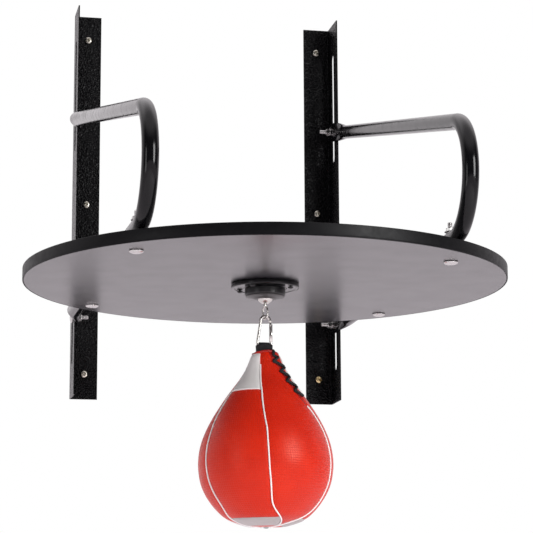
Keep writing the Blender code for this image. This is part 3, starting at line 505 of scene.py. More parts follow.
def rod(points, radius, sides=16, closed=False, side=None, blunt=0.0):
    """A round rod along a path, with metric UVs.  blunt rounds off its ends by that length."""
    points = [Vector(p) for p in points]
    spans = lengths_along(points)
    sections = []
    for (point, across, up), span in zip(path_frames(points, closed, side), spans):
        reach = radius
        if blunt:
            inset = max(0.0, 1.0 - min(span, spans[-1] - span) / blunt)
            reach *= max(0.15, math.sqrt(1.0 - inset ** 2))
        sections.append([point + reach * (math.cos(math.tau * j / sides) * across
                                          + math.sin(math.tau * j / sides) * up)
                         for j in range(sides)])
    return loft(sections, closed, lambda k, step, row: (math.tau * radius * (k + step) / sides, spans[row]))


def extrude(outline, low, high, edge):
    """Extrude an (x, y) outline along Z, easing both ends by edge."""
    centre = Vector((sum(x for x, _ in outline), sum(y for _, y in outline))) / len(outline)
    sections = []
    for z, inset in ((low, edge), (low + edge, 0.0), (high - edge, 0.0), (high, edge)):
        section = []
        for x, y in outline:
            outwards = Vector((x, y)) - centre
            eased = centre + outwards * (1 - inset / outwards.length)
            section.append((eased.x, eased.y, z))
        sections.append(section)
    return loft(sections)


def join(*shapes):
    """Put several bmeshes in one, as separate closed bodies."""
    whole = bmesh.new()
    for shape in shapes:
        mesh = mesh_of(shape, "joined")
        whole.from_mesh(mesh)
        bpy.data.meshes.remove(mesh)
    return whole


def add_modifier(item, kind, **settings):
    modifier = item.modifiers.new(kind.lower(), kind)
    for key, value in settings.items():
        setattr(modifier, key, value)


def carve(shape, cutter):
    """Cut one bmesh out of another with an exact Boolean."""
    objects = [new_object("carving", mesh_of(tool, "carving")) for tool in (shape, cutter)]
    add_modifier(objects[0], 'BOOLEAN', operation='DIFFERENCE', solver='EXACT', object=objects[1])
    bpy.context.view_layer.update()
    carved = bmesh.new()
    carved.from_object(objects[0], bpy.context.evaluated_depsgraph_get())
    for item in objects:
        bpy.data.objects.remove(item)
    return carved


def spline(points, steps):
    """A smooth curve through points, with steps parts between each two."""
    points = [Vector(p) for p in points]
    curve = []
    for k in range(len(points) - 1):
        p0 = points[max(k - 1, 0)]
        p1, p2 = points[k], points[k + 1]
        p3 = points[min(k + 2, len(points) - 1)]
        for j in range(steps):
            t = j / steps
            curve.append(0.5 * ((2 * p1) + (p2 - p0) * t + (2 * p0 - 5 * p1 + 4 * p2 - p3) * t ** 2
                                + (3 * p1 - p0 - 3 * p2 + p3) * t ** 3))
    curve.append(points[-1])
    return curve


# ---------------------------------------------------------------------------------- fasteners
def threaded(low, high, outer, pitch, depth, sides=24, point=0.0):
    """A threaded rod along Z, its thread running out at the ends; point is a tip's length."""
    rows = max(4, round((high - low) / (pitch / 6)))
    sections = []
    for i in range(rows + 1):
        z = low + (high - low) * i / rows
        fade = min(1.0, (high - z) / pitch, (z - low) / pitch)
        taper = min(1.0, (high - z) / point) if point else 1.0
        section = []
        for j in range(sides):
            phase = (z / pitch + j / sides) % 1.0
            ridge = 1 - abs(phase - 0.5) * 2
            radius = (outer - depth + depth * ridge * fade) * max(taper, 0.06)
            angle = math.tau * j / sides
            section.append((radius * math.cos(angle), radius * math.sin(angle), z))
        sections.append(section)
    return loft(sections)


def dome_bolt(length, thread):
    """A round-head bolt, head down at the origin and shank up along +Z."""
    crown = [(x * BOLT_HEAD_RADIUS, y * (BOLT_HEAD_HEIGHT - 0.0006) - 0.0006)
             for x, y in arc((0, 0), 1.0, -90, 0, 12)]
    crown[0] = (0, -BOLT_HEAD_HEIGHT)
    rim = [(BOLT_HEAD_RADIUS, -0.0003), (BOLT_HEAD_RADIUS - 0.0003, 0)]
    head = lathe(crown + rim + [(BOLT_RADIUS, 0), (BOLT_RADIUS, length - thread),
                                (0, length - thread)], 36, closed=False)
    return join(head, threaded(length - thread - 0.0005, length, BOLT_RADIUS, THREAD_PITCH, 0.00042))


def make_washer(radius, thickness, hole):
    edge = 0.0003
    return lathe(rounded([(hole, 0, edge), (radius, 0, edge), (radius, thickness, edge),
                          (hole, thickness, edge)], 3), 36)


def make_nut(height, flange_radius=0.0):
    """A hexagon nut, with both faces' corners turned off and a lead-in at the hole."""
    apothem = NUT_CORNER * math.cos(math.radians(30))
    crown = 0.0010
    sides = 60
    heights = [0.0, 0.0003, 0.0007, crown, height - crown, height - 0.0007, height - 0.0003, height]
    rings = []
    if flange_radius:
        rings += [([flange_radius - 0.0003] * sides, 0.0), ([flange_radius] * sides, 0.0004),
                  ([flange_radius - 0.0001] * sides, 0.0009)]
        heights = heights[3:]
        heights[0] = 0.0018
    for z in heights:
        ease = min(z if not flange_radius else crown, height - z)
        chamfer = apothem + (NUT_CORNER - apothem) * min(1.0, 0.15 + ease / crown)
        ring = []
        for k in range(sides):
            within = (k * 360 / sides) % 60 - 30
            ring.append(min(apothem / math.cos(math.radians(within)), chamfer))
        rings.append((ring, z))
    hole = [BOLT_RADIUS + GAP] * sides
    lead = [BOLT_RADIUS + 0.0006] * sides
    rings += [(lead, height), (hole, height - 0.0005), (hole, 0.0005), (lead, 0.0)]
    sections = []
    for radii, z in rings:
        sections.append([(radius * math.cos(math.tau * k / sides), radius * math.sin(math.tau * k / sides), z)
                         for k, radius in enumerate(radii)])
    return loft(sections, closed=True)


def cross_head(radius, height):
    """A pan head on the -Z side of the origin, with a cross recess."""
    crown = [(0, -height), (radius * 0.55, -height)]
    crown += [(radius * (0.55 + 0.45 * math.sin(a)), -height * (0.45 + 0.55 * math.cos(a)))
              for a in [math.radians(d) for d in (20, 40, 60, 80)]]
    head = lathe(crown + [(radius, -height * 0.40), (radius, -0.0002), (radius - 0.0002, 0), (0, 0)],
                 32, closed=False)
    wing, slot, depth = radius * 0.58, radius * 0.21, height * 0.80
    for turn in (0, 90):
        outline = [(-wing, -slot), (wing, -slot), (wing, slot), (-wing, slot)]
        tip = [(x * 0.45, y * 0.7) for x, y in outline]
        cutter = loft([[(x, y, -height - 0.0002) for x, y in outline],
                       [(x, y, -height + depth) for x, y in tip]])
        head = carve(head, placed(cutter, (0, 0, 0), turned(turn, 'Z')))
    return head


def make_wall_screws():
    into_wall = turned(-90, 'X') @ turned(20, 'Z')
    head = cross_head(*WALL_SCREW_HEAD)
    for word, _ in SIDES:
        for level in ("bottom", "middle", "top"):
            name = f"{word}_{level}_wall_screw"
            low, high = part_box(name)
            place = middle(name)
            place.y = low.y + WALL_SCREW_HEAD[1]
            shank = threaded(0.0, high.y - place.y, **WALL_SCREW_THREAD)
            # The upper screws' crosses stand at another angle, and one screw is yellow zinc.
            stand_in(name, "uprights", "wall_screw_steel", join(shank, head.copy()), place,
                     into_wall @ turned(37 * (place.z > 0), 'Z'),
                     finish="yellow_screw" if name == "right_bottom_wall_screw" else None)
    head.free()


def make_arm_bolts():
    """The bolt, washer and nut that hold each paddle in its upright's slot."""
    for word, side in SIDES:
        for level in ("upper", "lower"):
            for kind in ("bolt", "washer", "nut"):
                name = f"{word}_{level}_arm_{kind}"
                low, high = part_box(name)
                width = high.x - low.x
                place = middle(name)
                place.x = side * max(abs(low.x), abs(high.x))
                if kind == "bolt":
                    place.x -= side * BOLT_HEAD_HEIGHT
                    shape = dome_bolt(width - BOLT_HEAD_HEIGHT, ARM_THREAD)
                elif kind == "washer":
                    shape = make_washer((high.z - low.z) / 2, width, BOLT_RADIUS + 0.0004)
                else:
                    shape = make_nut(width)
                stand_in(name, "carriage", "zinc_hardware", shape, place, turned(-90 * side, 'Y'))


def make_board_bolts():
    for word, side in SIDES:
        for end in ("front", "rear"):
            name = f"{word}_{end}_board_bolt"
            low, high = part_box(name)
            place = middle(name)
            place.z = low.z + BOLT_HEAD_HEIGHT
            stand_in(name, "carriage", "zinc_hardware", dome_bolt(high.z - place.z, BOARD_THREAD), place)
            name = f"{word}_{end}_board_nut"
            low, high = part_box(name)
            place = middle(name)
            place.z = low.z
            stand_in(name, "carriage", "zinc_hardware", make_nut(high.z - low.z, (high.x - low.x) / 2),
                     place, turned(17 * side, 'Z'))


# --------------------------------------------------------------------------- uprights and arms
def finish_uprights():
    """The uprights keep their CAD meshes, with their edges eased."""
    for word, _ in SIDES:
        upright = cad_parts[word + "_upright"]
        upright.data.materials.clear()
        upright.data.materials.append(FINISHES["hammered_powder_coat"])
        add_modifier(upright, 'BEVEL', width=0.00045, segments=2, limit_method='ANGLE',
                     angle_limit=math.radians(50), harden_normals=True)


def arm_stations(bolt_y, upper_z, lower_z, front_y):
    """Points down the arm: (y, z, tangent angle, roundness, share of the paddle's height)."""
    bend_y = front_y + BEND_RADIUS
    bend_z = lower_z + BEND_RADIUS
    # The upper run is the line through the upper bolt that touches the bend's circle.
    across, rise = bolt_y - bend_y, upper_z - bend_z
    reach = math.hypot(across, rise)
    slope = math.atan2(rise, across) - math.asin(BEND_RADIUS / reach)
    flat = []
    tip, square = 0.0135, 0.0035                # the paddle's round end, from its bolt outwards
    for run in (tip, 0.0132, 0.0124, 0.0108, 0.0085, 0.0055):
        flat.append((-run, 0.0, max(0.12, math.sqrt(1 - ((run - square) / (tip - square)) ** 2))))
    flat += [(-0.0030, 0.0, 1.0), (0.012, 0.0, 1.0), (0.030, 0.0, 1.0)]
    pressed, swell = 0.0335, 0.0295             # where the pressed part ends, and its run to round
    for k in range(13):
        t = k / 12
        flat.append((pressed + swell * t, t * t * (3 - 2 * t), 1.0))
    stations = []
    for run, roundness, end in flat:
        stations.append((bolt_y - run * math.cos(slope), upper_z - run * math.sin(slope),
                         slope, roundness, end))
    steps = 48
    for k in range(steps + 1):
        swept = (math.pi - slope) * k / steps
        angle = math.pi / 2 + slope + swept
        stations.append((bend_y + BEND_RADIUS * math.cos(angle), bend_z + BEND_RADIUS * math.sin(angle),
                         slope + swept, 1.0, 1.0))
    for run, roundness, end in reversed(flat):
        stations.append((bolt_y - run, lower_z, math.pi, roundness, end))
    return stations


def arm_section(side, station, bolt_y, paddle_x, sides=32):
    """The tube's outline at a station: round, or pressed to a flat paddle."""
    y, z, angle, roundness, end = station
    half_x = PADDLE_THICKNESS / 2 + (TUBE_RADIUS - PADDLE_THICKNESS / 2) * roundness
    half_up = (PADDLE_HEIGHT / 2 + (TUBE_RADIUS - PADDLE_HEIGHT / 2) * roundness) * end
    power = 0.30 + 0.70 * roundness
    centre_x = paddle_x + (ARM_X + (y - bolt_y) * ARM_TOE_IN - paddle_x) * roundness
    points = []
    for k in range(sides):
        turn = math.tau * (k + 0.5) / sides
        across = math.copysign(abs(math.cos(turn)) ** power, math.cos(turn)) * half_x
        up = math.copysign(abs(math.sin(turn)) ** (0.6 + 0.4 * roundness), math.sin(turn)) * half_up
        points.append((side * (centre_x + across), y - up * math.sin(angle), z + up * math.cos(angle)))
    return points


def make_arms():
    for word, side in SIDES:
        upper = middle(f"{word}_upper_arm_bolt")
        lower = middle(f"{word}_lower_arm_bolt")
        front_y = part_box(f"{word}_arm")[0].y + TUBE_RADIUS
        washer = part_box(f"{word}_upper_arm_washer")
        paddle_x = max(abs(corner.x) for corner in washer) + GAP + PADDLE_THICKNESS / 2
        sections = [arm_section(side, station, upper.y, paddle_x)
                    for station in arm_stations(upper.y, upper.z, lower.z, front_y)]
        add_piece(f"{word}_arm_tube", "carriage", "gloss_black_paint", loft(sections), (f"{word}_arm",), 60)


# -------------------------------------------------------------------------------------- board
def make_board():
    radius = BOARD_RADIUS - BAND - GAP
    ease = 0.0004
    disc = lathe([(0, 0), (radius - ease, 0), (radius, ease), (radius, BOARD_THICKNESS - ease),
                  (radius - ease, BOARD_THICKNESS), (0, BOARD_THICKNESS)], 256, closed=False)
    add_piece("board_panel", "carriage", "black_laminate", placed(disc, AXIS), ("board_disc",))

    # The band is pressed on in one strip, with a shallow trimming groove near its lower edge.
    inner = BOARD_RADIUS - BAND
    groove = 0.0011
    ridge = 0.00035
    profile = rounded([(inner, -0.00005, 0.0002), (BOARD_RADIUS, -0.00005, 0.0006),
                       (BOARD_RADIUS, groove, 0.0001), (BOARD_RADIUS - ridge, groove + 0.0003, 0.0001),
                       (BOARD_RADIUS, groove + 0.0006, 0.0001),
                       (BOARD_RADIUS, BOARD_THICKNESS + 0.00005, 0.0006),
                       (inner, BOARD_THICKNESS + 0.00005, 0.0002)], 3)
    add_piece("board_rim_band", "carriage", "black_edging", placed(lathe(profile, 256), AXIS),
              ("board_edge_band",))


# ------------------------------------------------------------------------------------- swivel
def sphere_arc(radius, start_deg, end_deg, steps):
    return [(x, BELOW_BALL_CENTRE + z) for x, z in arc((0, 0), radius, start_deg, end_deg, steps)]


def make_swivel_plate():
    inner = SEAT_RADIUS + 2 * GAP
    top = -GAP
    bottom = top - FLANGE_THICKNESS
    profile = rounded([(inner, top, 0.0003), (FLANGE_RADIUS, top, 0.0012),
                       (FLANGE_RADIUS, bottom, 0.0022), (FLANGE_RADIUS - 0.0040, bottom, 0.0010),
                       (FLANGE_RADIUS - 0.0046, bottom + 0.0006, 0.0006),
                       (HOUSING_RADIUS + 0.0022, bottom + 0.0006, 0.0010),
                       (HOUSING_RADIUS + 0.0008, bottom, 0.0006), (inner, bottom, 0.0003)], 5)
    add_piece("swivel_mount_plate", "carriage", "gloss_black_paint",
              placed(lathe(profile, 128), AXIS), ("swivel_flange",), 50)
    for k in range(1, 5):
        name = f"swivel_screw_{k}"
        low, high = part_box(name)
        place = middle(name)
        place.z = low.z + FLANGE_SCREW_HEAD[1]
        shank = threaded(0.0, high.z - place.z, **FLANGE_SCREW_THREAD)
        stand_in(name, "carriage", "gloss_black_paint", join(cross_head(*FLANGE_SCREW_HEAD), shank), place,
                 turned(31 * k, 'Z'), finish="housing_black")


def make_swivel_housing():
    inner = SEAT_RADIUS + GAP
    top = -FLANGE_THICKNESS - 2 * GAP
    profile = rounded([(inner, top, 0.0003), (HOUSING_RADIUS, top, 0.0006),
                       (HOUSING_RADIUS, BELOW_HOUSING, 0.0022), (inner, BELOW_HOUSING, 0.0003)], 6)
    add_piece("swivel_cup", "carriage", "gloss_black_paint", placed(lathe(profile, 96), AXIS),
              ("swivel_housing",), 50, "housing_black")

    cap_top = BELOW_HOUSING - GAP
    clear = BALL_RADIUS + GAP
    inside = [(math.sqrt(clear ** 2 - (z - BELOW_BALL_CENTRE) ** 2), z)
              for z in (cap_top, cap_top * 0.5 + BELOW_CAP * 0.5, BELOW_CAP + 0.0003)]
    outside = [(LIP_RADIUS + 0.0002, BELOW_CAP), (0.0128, BELOW_CAP), (0.0136, BELOW_CAP + 0.0003),
               (0.0150, BELOW_CAP + 0.0010), (0.0190, BELOW_CAP + 0.0019),
               (HOUSING_RADIUS - 0.0022, cap_top - 0.0010), (HOUSING_RADIUS - 0.0012, cap_top - 0.0006),
               (HOUSING_RADIUS - 0.0010, cap_top)]
    add_piece("swivel_cup_cap", "carriage", "swivel_cap_steel",
              placed(lathe(inside + outside, 96), AXIS), ("swivel_cap",))


def make_swivel_inside():
    recess = sphere_arc(BALL_RADIUS + 2 * GAP, 90, 2, 16)
    edge = 0.0005
    profile = [(0, -2 * GAP), (SEAT_RADIUS - edge, -2 * GAP), (SEAT_RADIUS, -2 * GAP - edge),
               (SEAT_RADIUS, recess[-1][1])]
    seat = lathe(profile + recess[::-1][:-1] + [(0, recess[0][1])], 64, closed=False)
    add_piece("bearing_seat_shown", "bearing", "nylon", placed(seat, AXIS), ("swivel_bearing_seat",))

    bore = EYE_STEM + GAP
    head_bore = 0.0042
    shelf = BELOW_BALL_CENTRE + 0.0070
    lowest = -math.degrees(math.acos(bore / BALL_RADIUS))
    highest = math.degrees(math.acos(head_bore / BALL_RADIUS))
    ball = lathe(sphere_arc(BALL_RADIUS, lowest, highest, 40)
                 + [(head_bore, shelf), (bore, shelf), (bore, BELOW_BALL_CENTRE - 0.009)], 64)
    stand_in("swivel_ball", "ball", "bright_plated_steel", ball, AXIS)

    head_top = shelf + GAP + 0.0020
    stem = lathe([(0, BELOW_EYE_TOP - 0.0006), (EYE_STEM * 0.7, BELOW_EYE_TOP - 0.0004),
                  (EYE_STEM * 0.95, BELOW_EYE_TOP + 0.0006), (EYE_STEM, BELOW_EYE_TOP + 0.0016),
                  (EYE_STEM, shelf + GAP), (head_bore - GAP, shelf + GAP),
                  (head_bore - GAP, head_top), (0, head_top)], 32, closed=False)
    half = EYE_HALF_WIDTH
    outline = arc((0, BELOW_EYE_TOP - half), half, 0, 180, 20)
    outline += arc((0, BELOW_EYE_BOTTOM + half), half, 180, 360, 20)
    across = Vector((-math.sin(EYE_TURN), math.cos(EYE_TURN), 0))
    ring = rod([AXIS + across * s + Vector((0, 0, z)) for s, z in outline], EYE_WIRE, 16, closed=True,
               side=across.cross(Vector((0, 0, 1))))
    stand_in("swivel_eye", "ball", "bright_plated_steel", join(placed(stem, AXIS), ring), smooth_angle=50)


# --------------------------------------------------------------------------------------- clip
def clip_point(x, height, y=0.0):
    return AXIS + Vector((x, y, height))


def make_clip():
    top = BELOW_EYE_BOTTOM + EYE_WIRE + GAP + CLIP_WIRE - CLIP_TOP_RADIUS
    corner_height = BELOW_CLIP_BAR + CLIP_CORNER
    nose = arc((CLIP_RIGHT - CLIP_CORNER, corner_height), CLIP_CORNER, 0, -90, 12)
    heel = arc((CLIP_LEFT + CLIP_CORNER, corner_height), CLIP_CORNER, -90, -173, 12)
    bend = arc((0, top), CLIP_TOP_RADIUS, 187, 0, 28)
    ear = [(PIN_X + 0.0001, BELOW_PIN + 0.0042), (PIN_X + 0.0002, BELOW_PIN + 0.0030)]
    start = [(CLIP_RIGHT, corner_height + 0.0006)]
    wire = rod([clip_point(x, z) for x, z in start + nose + heel + bend + ear], CLIP_WIRE, 20,
               side=Vector((0, 1, 0)), blunt=0.0007)
    cheek = 0.0013
    tongue = [(PIN_X - cheek, BELOW_PIN + 0.0040), (PIN_X + cheek, BELOW_PIN + 0.0040)]
    tongue += arc((PIN_X, BELOW_PIN), cheek, 0, -180, 12)
    plate = placed(extrude(tongue, -0.0007, 0.0007, 0.0001), AXIS, turned(90, 'X'))
    add_piece("clip_hook", "clip", "bright_plated_steel", join(wire, plate), ("clip_body",), 50)

    half, head = 0.0022, 0.0012
    pin = lathe([(0, -half - 0.0005), (head * 0.6, -half - 0.00045), (head, -half - 0.0002), (head, -half),
                 (PIN_RADIUS, -half), (PIN_RADIUS, half), (head, half), (head, half + 0.0002),
                 (head * 0.6, half + 0.00045), (0, half + 0.0005)], 20, closed=False)
    stand_in("clip_rivet", "clip", "bright_plated_steel", pin, clip_point(PIN_X, BELOW_PIN), turned(90, 'X'))


def make_gate():
    """A channel pressed from sheet, its back rounded and its cheeks astride the tongue."""
    cheek = 0.0008
    half_y = 0.0018
    inner_y = half_y - cheek
    left, right = PIN_X - 0.0012, PIN_X + 0.0026
    section = rounded([(left, -half_y, 0.0002), (right, -half_y, 0.0012), (right, half_y, 0.0012),
                       (left, half_y, 0.0002), (left, inner_y, 0.0002), (right - cheek, inner_y, 0.0006),
                       (right - cheek, -inner_y, 0.0006), (left, -inner_y, 0.0002)], 5)
    channel = extrude(section, BELOW_PIN - GATE_LENGTH, BELOW_PIN + 0.0013, 0.0002)
    stand_in("clip_gate", "gate", "bright_plated_steel", channel, AXIS, smooth_angle=50)
    path = [(-0.0002, -0.0021), (0.0001, -0.0070), (-0.0002, -0.0120), (-0.0006, -0.0165)]
    points = spline([clip_point(PIN_X + x, BELOW_PIN + z) for x, z in path], 6)
    add_piece("clip_spring_shown", "gate", "bright_plated_steel", rod(points, 0.00028, 10),
              ("clip_gate_spring",))


# ---------------------------------------------------------------------------------------- bag
OUTLINE = [(p.x, p.y) for p in spline([(r, z, 0) for r, z in BAG_OUTLINE], 7)]
BAG_BOTTOM = OUTLINE[-1][1]


def interpolate(table, height):
    """The value of a (height, value) table at a height, the heights falling."""
    for (high, above), (low, under) in zip(table, table[1:]):
        if height >= low:
            return above + (under - above) * min(1.0, (high - height) / (high - low))
    return table[-1][1]


def outline_at(height):
    """(radius, outward normal) of the outline at a height."""
    for k in range(len(OUTLINE) - 1):
        (ra, za), (rb, zb) = OUTLINE[k], OUTLINE[k + 1]
        if height >= zb or k == len(OUTLINE) - 2:
            share = min(1.0, max(0.0, (za - height) / max(za - zb, 1e-9)))
            before, after = OUTLINE[max(k - 1, 0)], OUTLINE[min(k + 2, len(OUTLINE) - 1)]
            normal_a = Vector((before[1] - zb, rb - before[0])).normalized()
            normal_b = Vector((za - after[1], after[0] - ra)).normalized()
            normal = normal_a.lerp(normal_b, share).normalized()
            return ra + (rb - ra) * share, normal


def plain_seam(number):
    return SEAM_ANGLES[number % PANELS] + 360 * (number // PANELS)


def lace_lead(height):
    """Degrees that the laced seam runs ahead of the others' twist."""
    return interpolate(LACE_LEADS, height)


def seam_angle(number, height):
    """Degrees from -Y of a seam at a height; numbers run on past the last seam."""
    angle = plain_seam(number) + interpolate(SEAM_TWIST, height)
    if number % PANELS == LACED:
        angle += lace_lead(height)
    # Every second panel ends in a point under the bag.
    closing = min(1.0, max(0.0, (PANEL_POINT_TOP - height) / (PANEL_POINT_TOP - PANEL_POINT_BOTTOM)))
    closing = 0.485 * closing ** 3
    if number % 2:
        return angle + closing * (plain_seam(number + 1) - plain_seam(number))
    return angle - closing * (plain_seam(number) - plain_seam(number - 1))


def around(angle_deg, radius, height):
    angle = math.radians(angle_deg)
    return AXIS + Vector((radius * math.sin(angle), -radius * math.cos(angle), height))


def panel_width(panel, height, radius):
    return math.radians(seam_angle(panel + 1, height) - seam_angle(panel, height)) * radius


def panel_lift(panel, share, height, radius):
    """How far the cover stands off its outline: puffed between seams and puckered beside them."""
    width = panel_width(panel, height, radius)
    gap = min(share, 1 - share) * width
    lift = -SEAM_GROOVE * math.exp(-(gap / SEAM_GROOVE_WIDTH) ** 2)
    lift += PANEL_PUFF * (1 - math.exp(-gap / 0.012)) * min(1.0, radius / 0.05)
    seam = panel if share < 0.5 else panel + 1
    ripple = noise.noise(Vector((height * 260, seam % PANELS * 7.3, 0.5 if share < 0.5 else 4.5)))
    lift += PUCKER * ripple * math.exp(-gap / 0.0055) * (1 - math.exp(-gap / 0.0012)) * 3
    lift += 0.00035 * noise.noise(Vector((panel * 3.1, share * 2.5, height * 28)))
    return lift * min(1.0, radius / 0.012)


def skin(panel, share, height, proud=0.0, along=0.0, smooth=False):
    """A place on the cover: share runs across a panel from 0 to 1, and along adds metres."""
    radius, normal = outline_at(height)
    angle = seam_angle(panel, height)
    angle += (seam_angle(panel + 1, height) - angle) * share + math.degrees(along / max(radius, 0.003))
    lift = proud + (0.0 if smooth else panel_lift(panel, share, height, radius))
    return around(angle, radius + normal.x * lift, height + normal.y * lift)


def make_bag_cover():
    """Six panels sewn to one closed shell, with its thickness."""
    columns = 22
    shares = [0.5 - 0.5 * math.cos(math.pi * j / columns) for j in range(columns + 1)]
    heights = [z for _, z in OUTLINE]
    spans = lengths_along([(r, z, 0) for r, z in OUTLINE])
    row_heights = heights + heights[::-1]
    row_spans = spans + spans[::-1]
    least = VALVE_RADIUS + GAP

    def cover_row(height, inside):
        row = []
        for panel in range(PANELS):
            for share in shares[:-1]:
                point = skin(panel, share, height, -LEATHER if inside else 0.0)
                flat = Vector((point.x - AXIS.x, point.y - AXIS.y))
                if inside and flat.length < least:
                    flat = flat.normalized() * least
                    point = Vector((AXIS.x + flat.x, AXIS.y + flat.y, point.z))
                row.append(point)
        return row

    def cover_uv(k, step, row):
        panel, column = divmod(k, columns)
        height = row_heights[row]
        across = (shares[column + step] - 0.5) * panel_width(panel, height, outline_at(height)[0])
        return across + 0.3 * panel, row_spans[row]

    rows = [cover_row(height, number >= len(heights)) for number, height in enumerate(row_heights)]
    cover = add_piece("bag_leather_cover", "bag", "red_leather", loft(rows, True, cover_uv),
                      ("bag_cover",), 80)


def make_bag_piping():
    """White welts in the seams, from under the mouth's rim to the valve."""
    shapes = []
    for number, top in enumerate(PIPING_TOPS):
        heights = [z for _, z in OUTLINE if z <= top]
        points = [skin(number, 0.0, z, 0.00075) for z in heights[:-4]]
        shapes.append(rod(points, PIPING_RADIUS, 12, side=Vector((0, 0, 1))))
    ring = [around(d, 0.0066, BAG_BOTTOM + 0.0001) for d in range(0, 360, 12)]
    shapes.append(rod(ring, 0.0010, 10, closed=True, side=Vector((0, 0, 1))))
    add_piece("bag_seam_piping", "bag", "white_piping", join(*shapes), ("bag_piping",), 60)


def panel_patch(panel, top, bottom, left, right, thickness, rows=16, columns=20):
    """A closed shell laid on one panel, its edges turned under."""
    sections = []
    for i in range(rows + 1):
        height = top + (bottom - top) * i / rows
        radius, _ = outline_at(height)
        width = panel_width(panel, height, radius)
        hidden = -math.radians(lace_lead(height)) * radius if panel == LACED else 0.0
        inner_left, inner_right = (left + hidden) / width, 1 - right / width
        end = min(i, rows - i)
        upper, lower = [], []
        for j in range(columns + 1):
            share = inner_left + (inner_right - inner_left) * j / columns
            edge = min(end, j, columns - j)
            rise = (0.15, 0.75, 1.0)[min(edge, 2)] * thickness
            upper.append(skin(panel, share, height, rise))
            lower.append(skin(panel, share, height, -0.0003))
        sections.append(upper + lower[::-1])
    return loft(sections)


def make_bag_patches():
    """A shoulder patch with its hem and a base patch on every second panel; the base patches are a darker
    grey, which is painted shade.
    """
    side = 0.0008
    for number, panel in enumerate((0, 2, 4), 1):
        lace_side = 0.0076 if panel == LACED else side
        shoulder = panel_patch(panel, *SHOULDER_SPAN, lace_side, side, 0.0009)
        add_piece(f"bag_shoulder_panel_{number}", "bag", "grey_leather", shoulder,
                  (f"bag_shoulder_patch_{number}",), 60)
        hem = panel_patch(panel, *HEM_SPAN, lace_side, 0.0009, 0.0013, rows=6)
        add_piece(f"bag_shoulder_hem_{number}", "bag", "grey_leather", hem, (), 60)
        # The base patch's darker grey is painted shade, not a different leather.
        base = panel_patch(panel, *BASE_SPAN, side, side, 0.0009)
        add_piece(f"bag_base_panel_{number}", "bag", "grey_leather", base,
                  (f"bag_bottom_patch_{number}",), 60, "painted_shade_grey_base")


def strip_along_lace(offset, width, top, bottom, proud, steps=40):
    """A narrow leather strip beside the laced seam, offset from it in metres."""
    outline = ((-1.0, 0.0), (-0.85, 0.8), (0.0, 1.0), (0.85, 0.8), (1.0, 0.0), (0.0, -0.5))
    sections = []
    for i in range(steps + 1):
        height = top + (bottom - top) * i / steps
        sections.append([skin(LACED, 0.0, height, proud * rise, offset + j * width / 2, smooth=True)
                         for j, rise in outline])
    return loft(sections)


def make_laced_edge(name, offset):
    """One hemmed edge of the laced seam, with its row of stitches."""
    strip = strip_along_lace(offset, 0.0046, *LACED_EDGE_SPAN, 0.0009)
    add_piece(f"bag_lace_hem_{name}", "bag", "red_leather", strip, (), 60)
    outer = offset + math.copysign(0.0013, offset)
    first, last = STITCH_SPAN
    pitch = (first - last) / STITCHES
    stitches = []
    for k in range(STITCHES):
        points = [skin(LACED, 0.0, first - pitch * (k + 0.72 * j / 4), 0.0009 - 0.0004 * (j in (0, 4)),
                       outer, smooth=True) for j in range(5)]
        stitches.append(rod(points, 0.00022, 6))
    add_piece(f"bag_lace_stitches_{name}", "bag", "red_leather", join(*stitches), (), 60, "red_trim")


def make_lacing():
    """The hemmed edges, the tongue between them and the lace over both."""
    make_laced_edge("left", -LACE_REACH - 0.0008)
    make_laced_edge("right", LACE_REACH + 0.0008)
    tongue = strip_along_lace(0.0, 0.0058, *TONGUE_SPAN, 0.0004)
    add_piece("bag_lace_tongue", "bag", "red_leather", tongue, (), 60, "red_trim")

    # The lace comes up over the mouth's rim, and then crosses from edge to edge.
    rise = ((0, 0.0130, -0.0920), (0, 0.0136, -0.0886), (0, 0.0158, -0.0866), (-3, 0.0186, -0.0888),
            (-8, 0.0206, -0.0930))
    points = spline([around(LACE_START + turn, radius, height) for turn, radius, height in rise], 5)
    steps = 12 * LACE_CROSSINGS
    for k in range(steps + 1):
        height = LACE_TOP + (LACE_BOTTOM - LACE_TOP) * k / steps
        swing = 1 - 2 * abs((k / 12) % 2 - 1)
        swing = -math.copysign(min(1.0, abs(swing) * 1.12), swing)
        dip = max(0.0, (abs(swing) - 0.80) / 0.20)
        proud = LACE_RADIUS + 0.0012 - 0.0011 * dip
        points.append(skin(LACED, 0.0, height, proud, swing * LACE_REACH, smooth=True))
    lace = rod(points, LACE_RADIUS, 12, side=Vector((0, 0, 1)), blunt=0.001)
    stand_in("bag_lace", "bag", "black_lace", lace, smooth_angle=60)


def make_mouth():
    """The rolled rim of the mouth, dipping where the lace closes it."""
    points = []
    radius, _ = outline_at(MOUTH - 0.0002)
    for degrees in range(0, 360, 5):
        angle = math.radians(degrees)
        wave = 0.00035 * noise.noise(Vector((math.cos(angle) * 2.2, math.sin(angle) * 2.2, 0)))
        sag = 0.0012 * math.cos(2 * angle)
        points.append(around(degrees, radius - 0.0010 + wave, MOUTH + sag + 1.5 * wave))
    rim = rod(points, 0.0018, 14, closed=True, side=Vector((0, 0, 1)))
    add_piece("bag_mouth_rim", "bag", "red_leather", rim, (), 60, "red_trim")


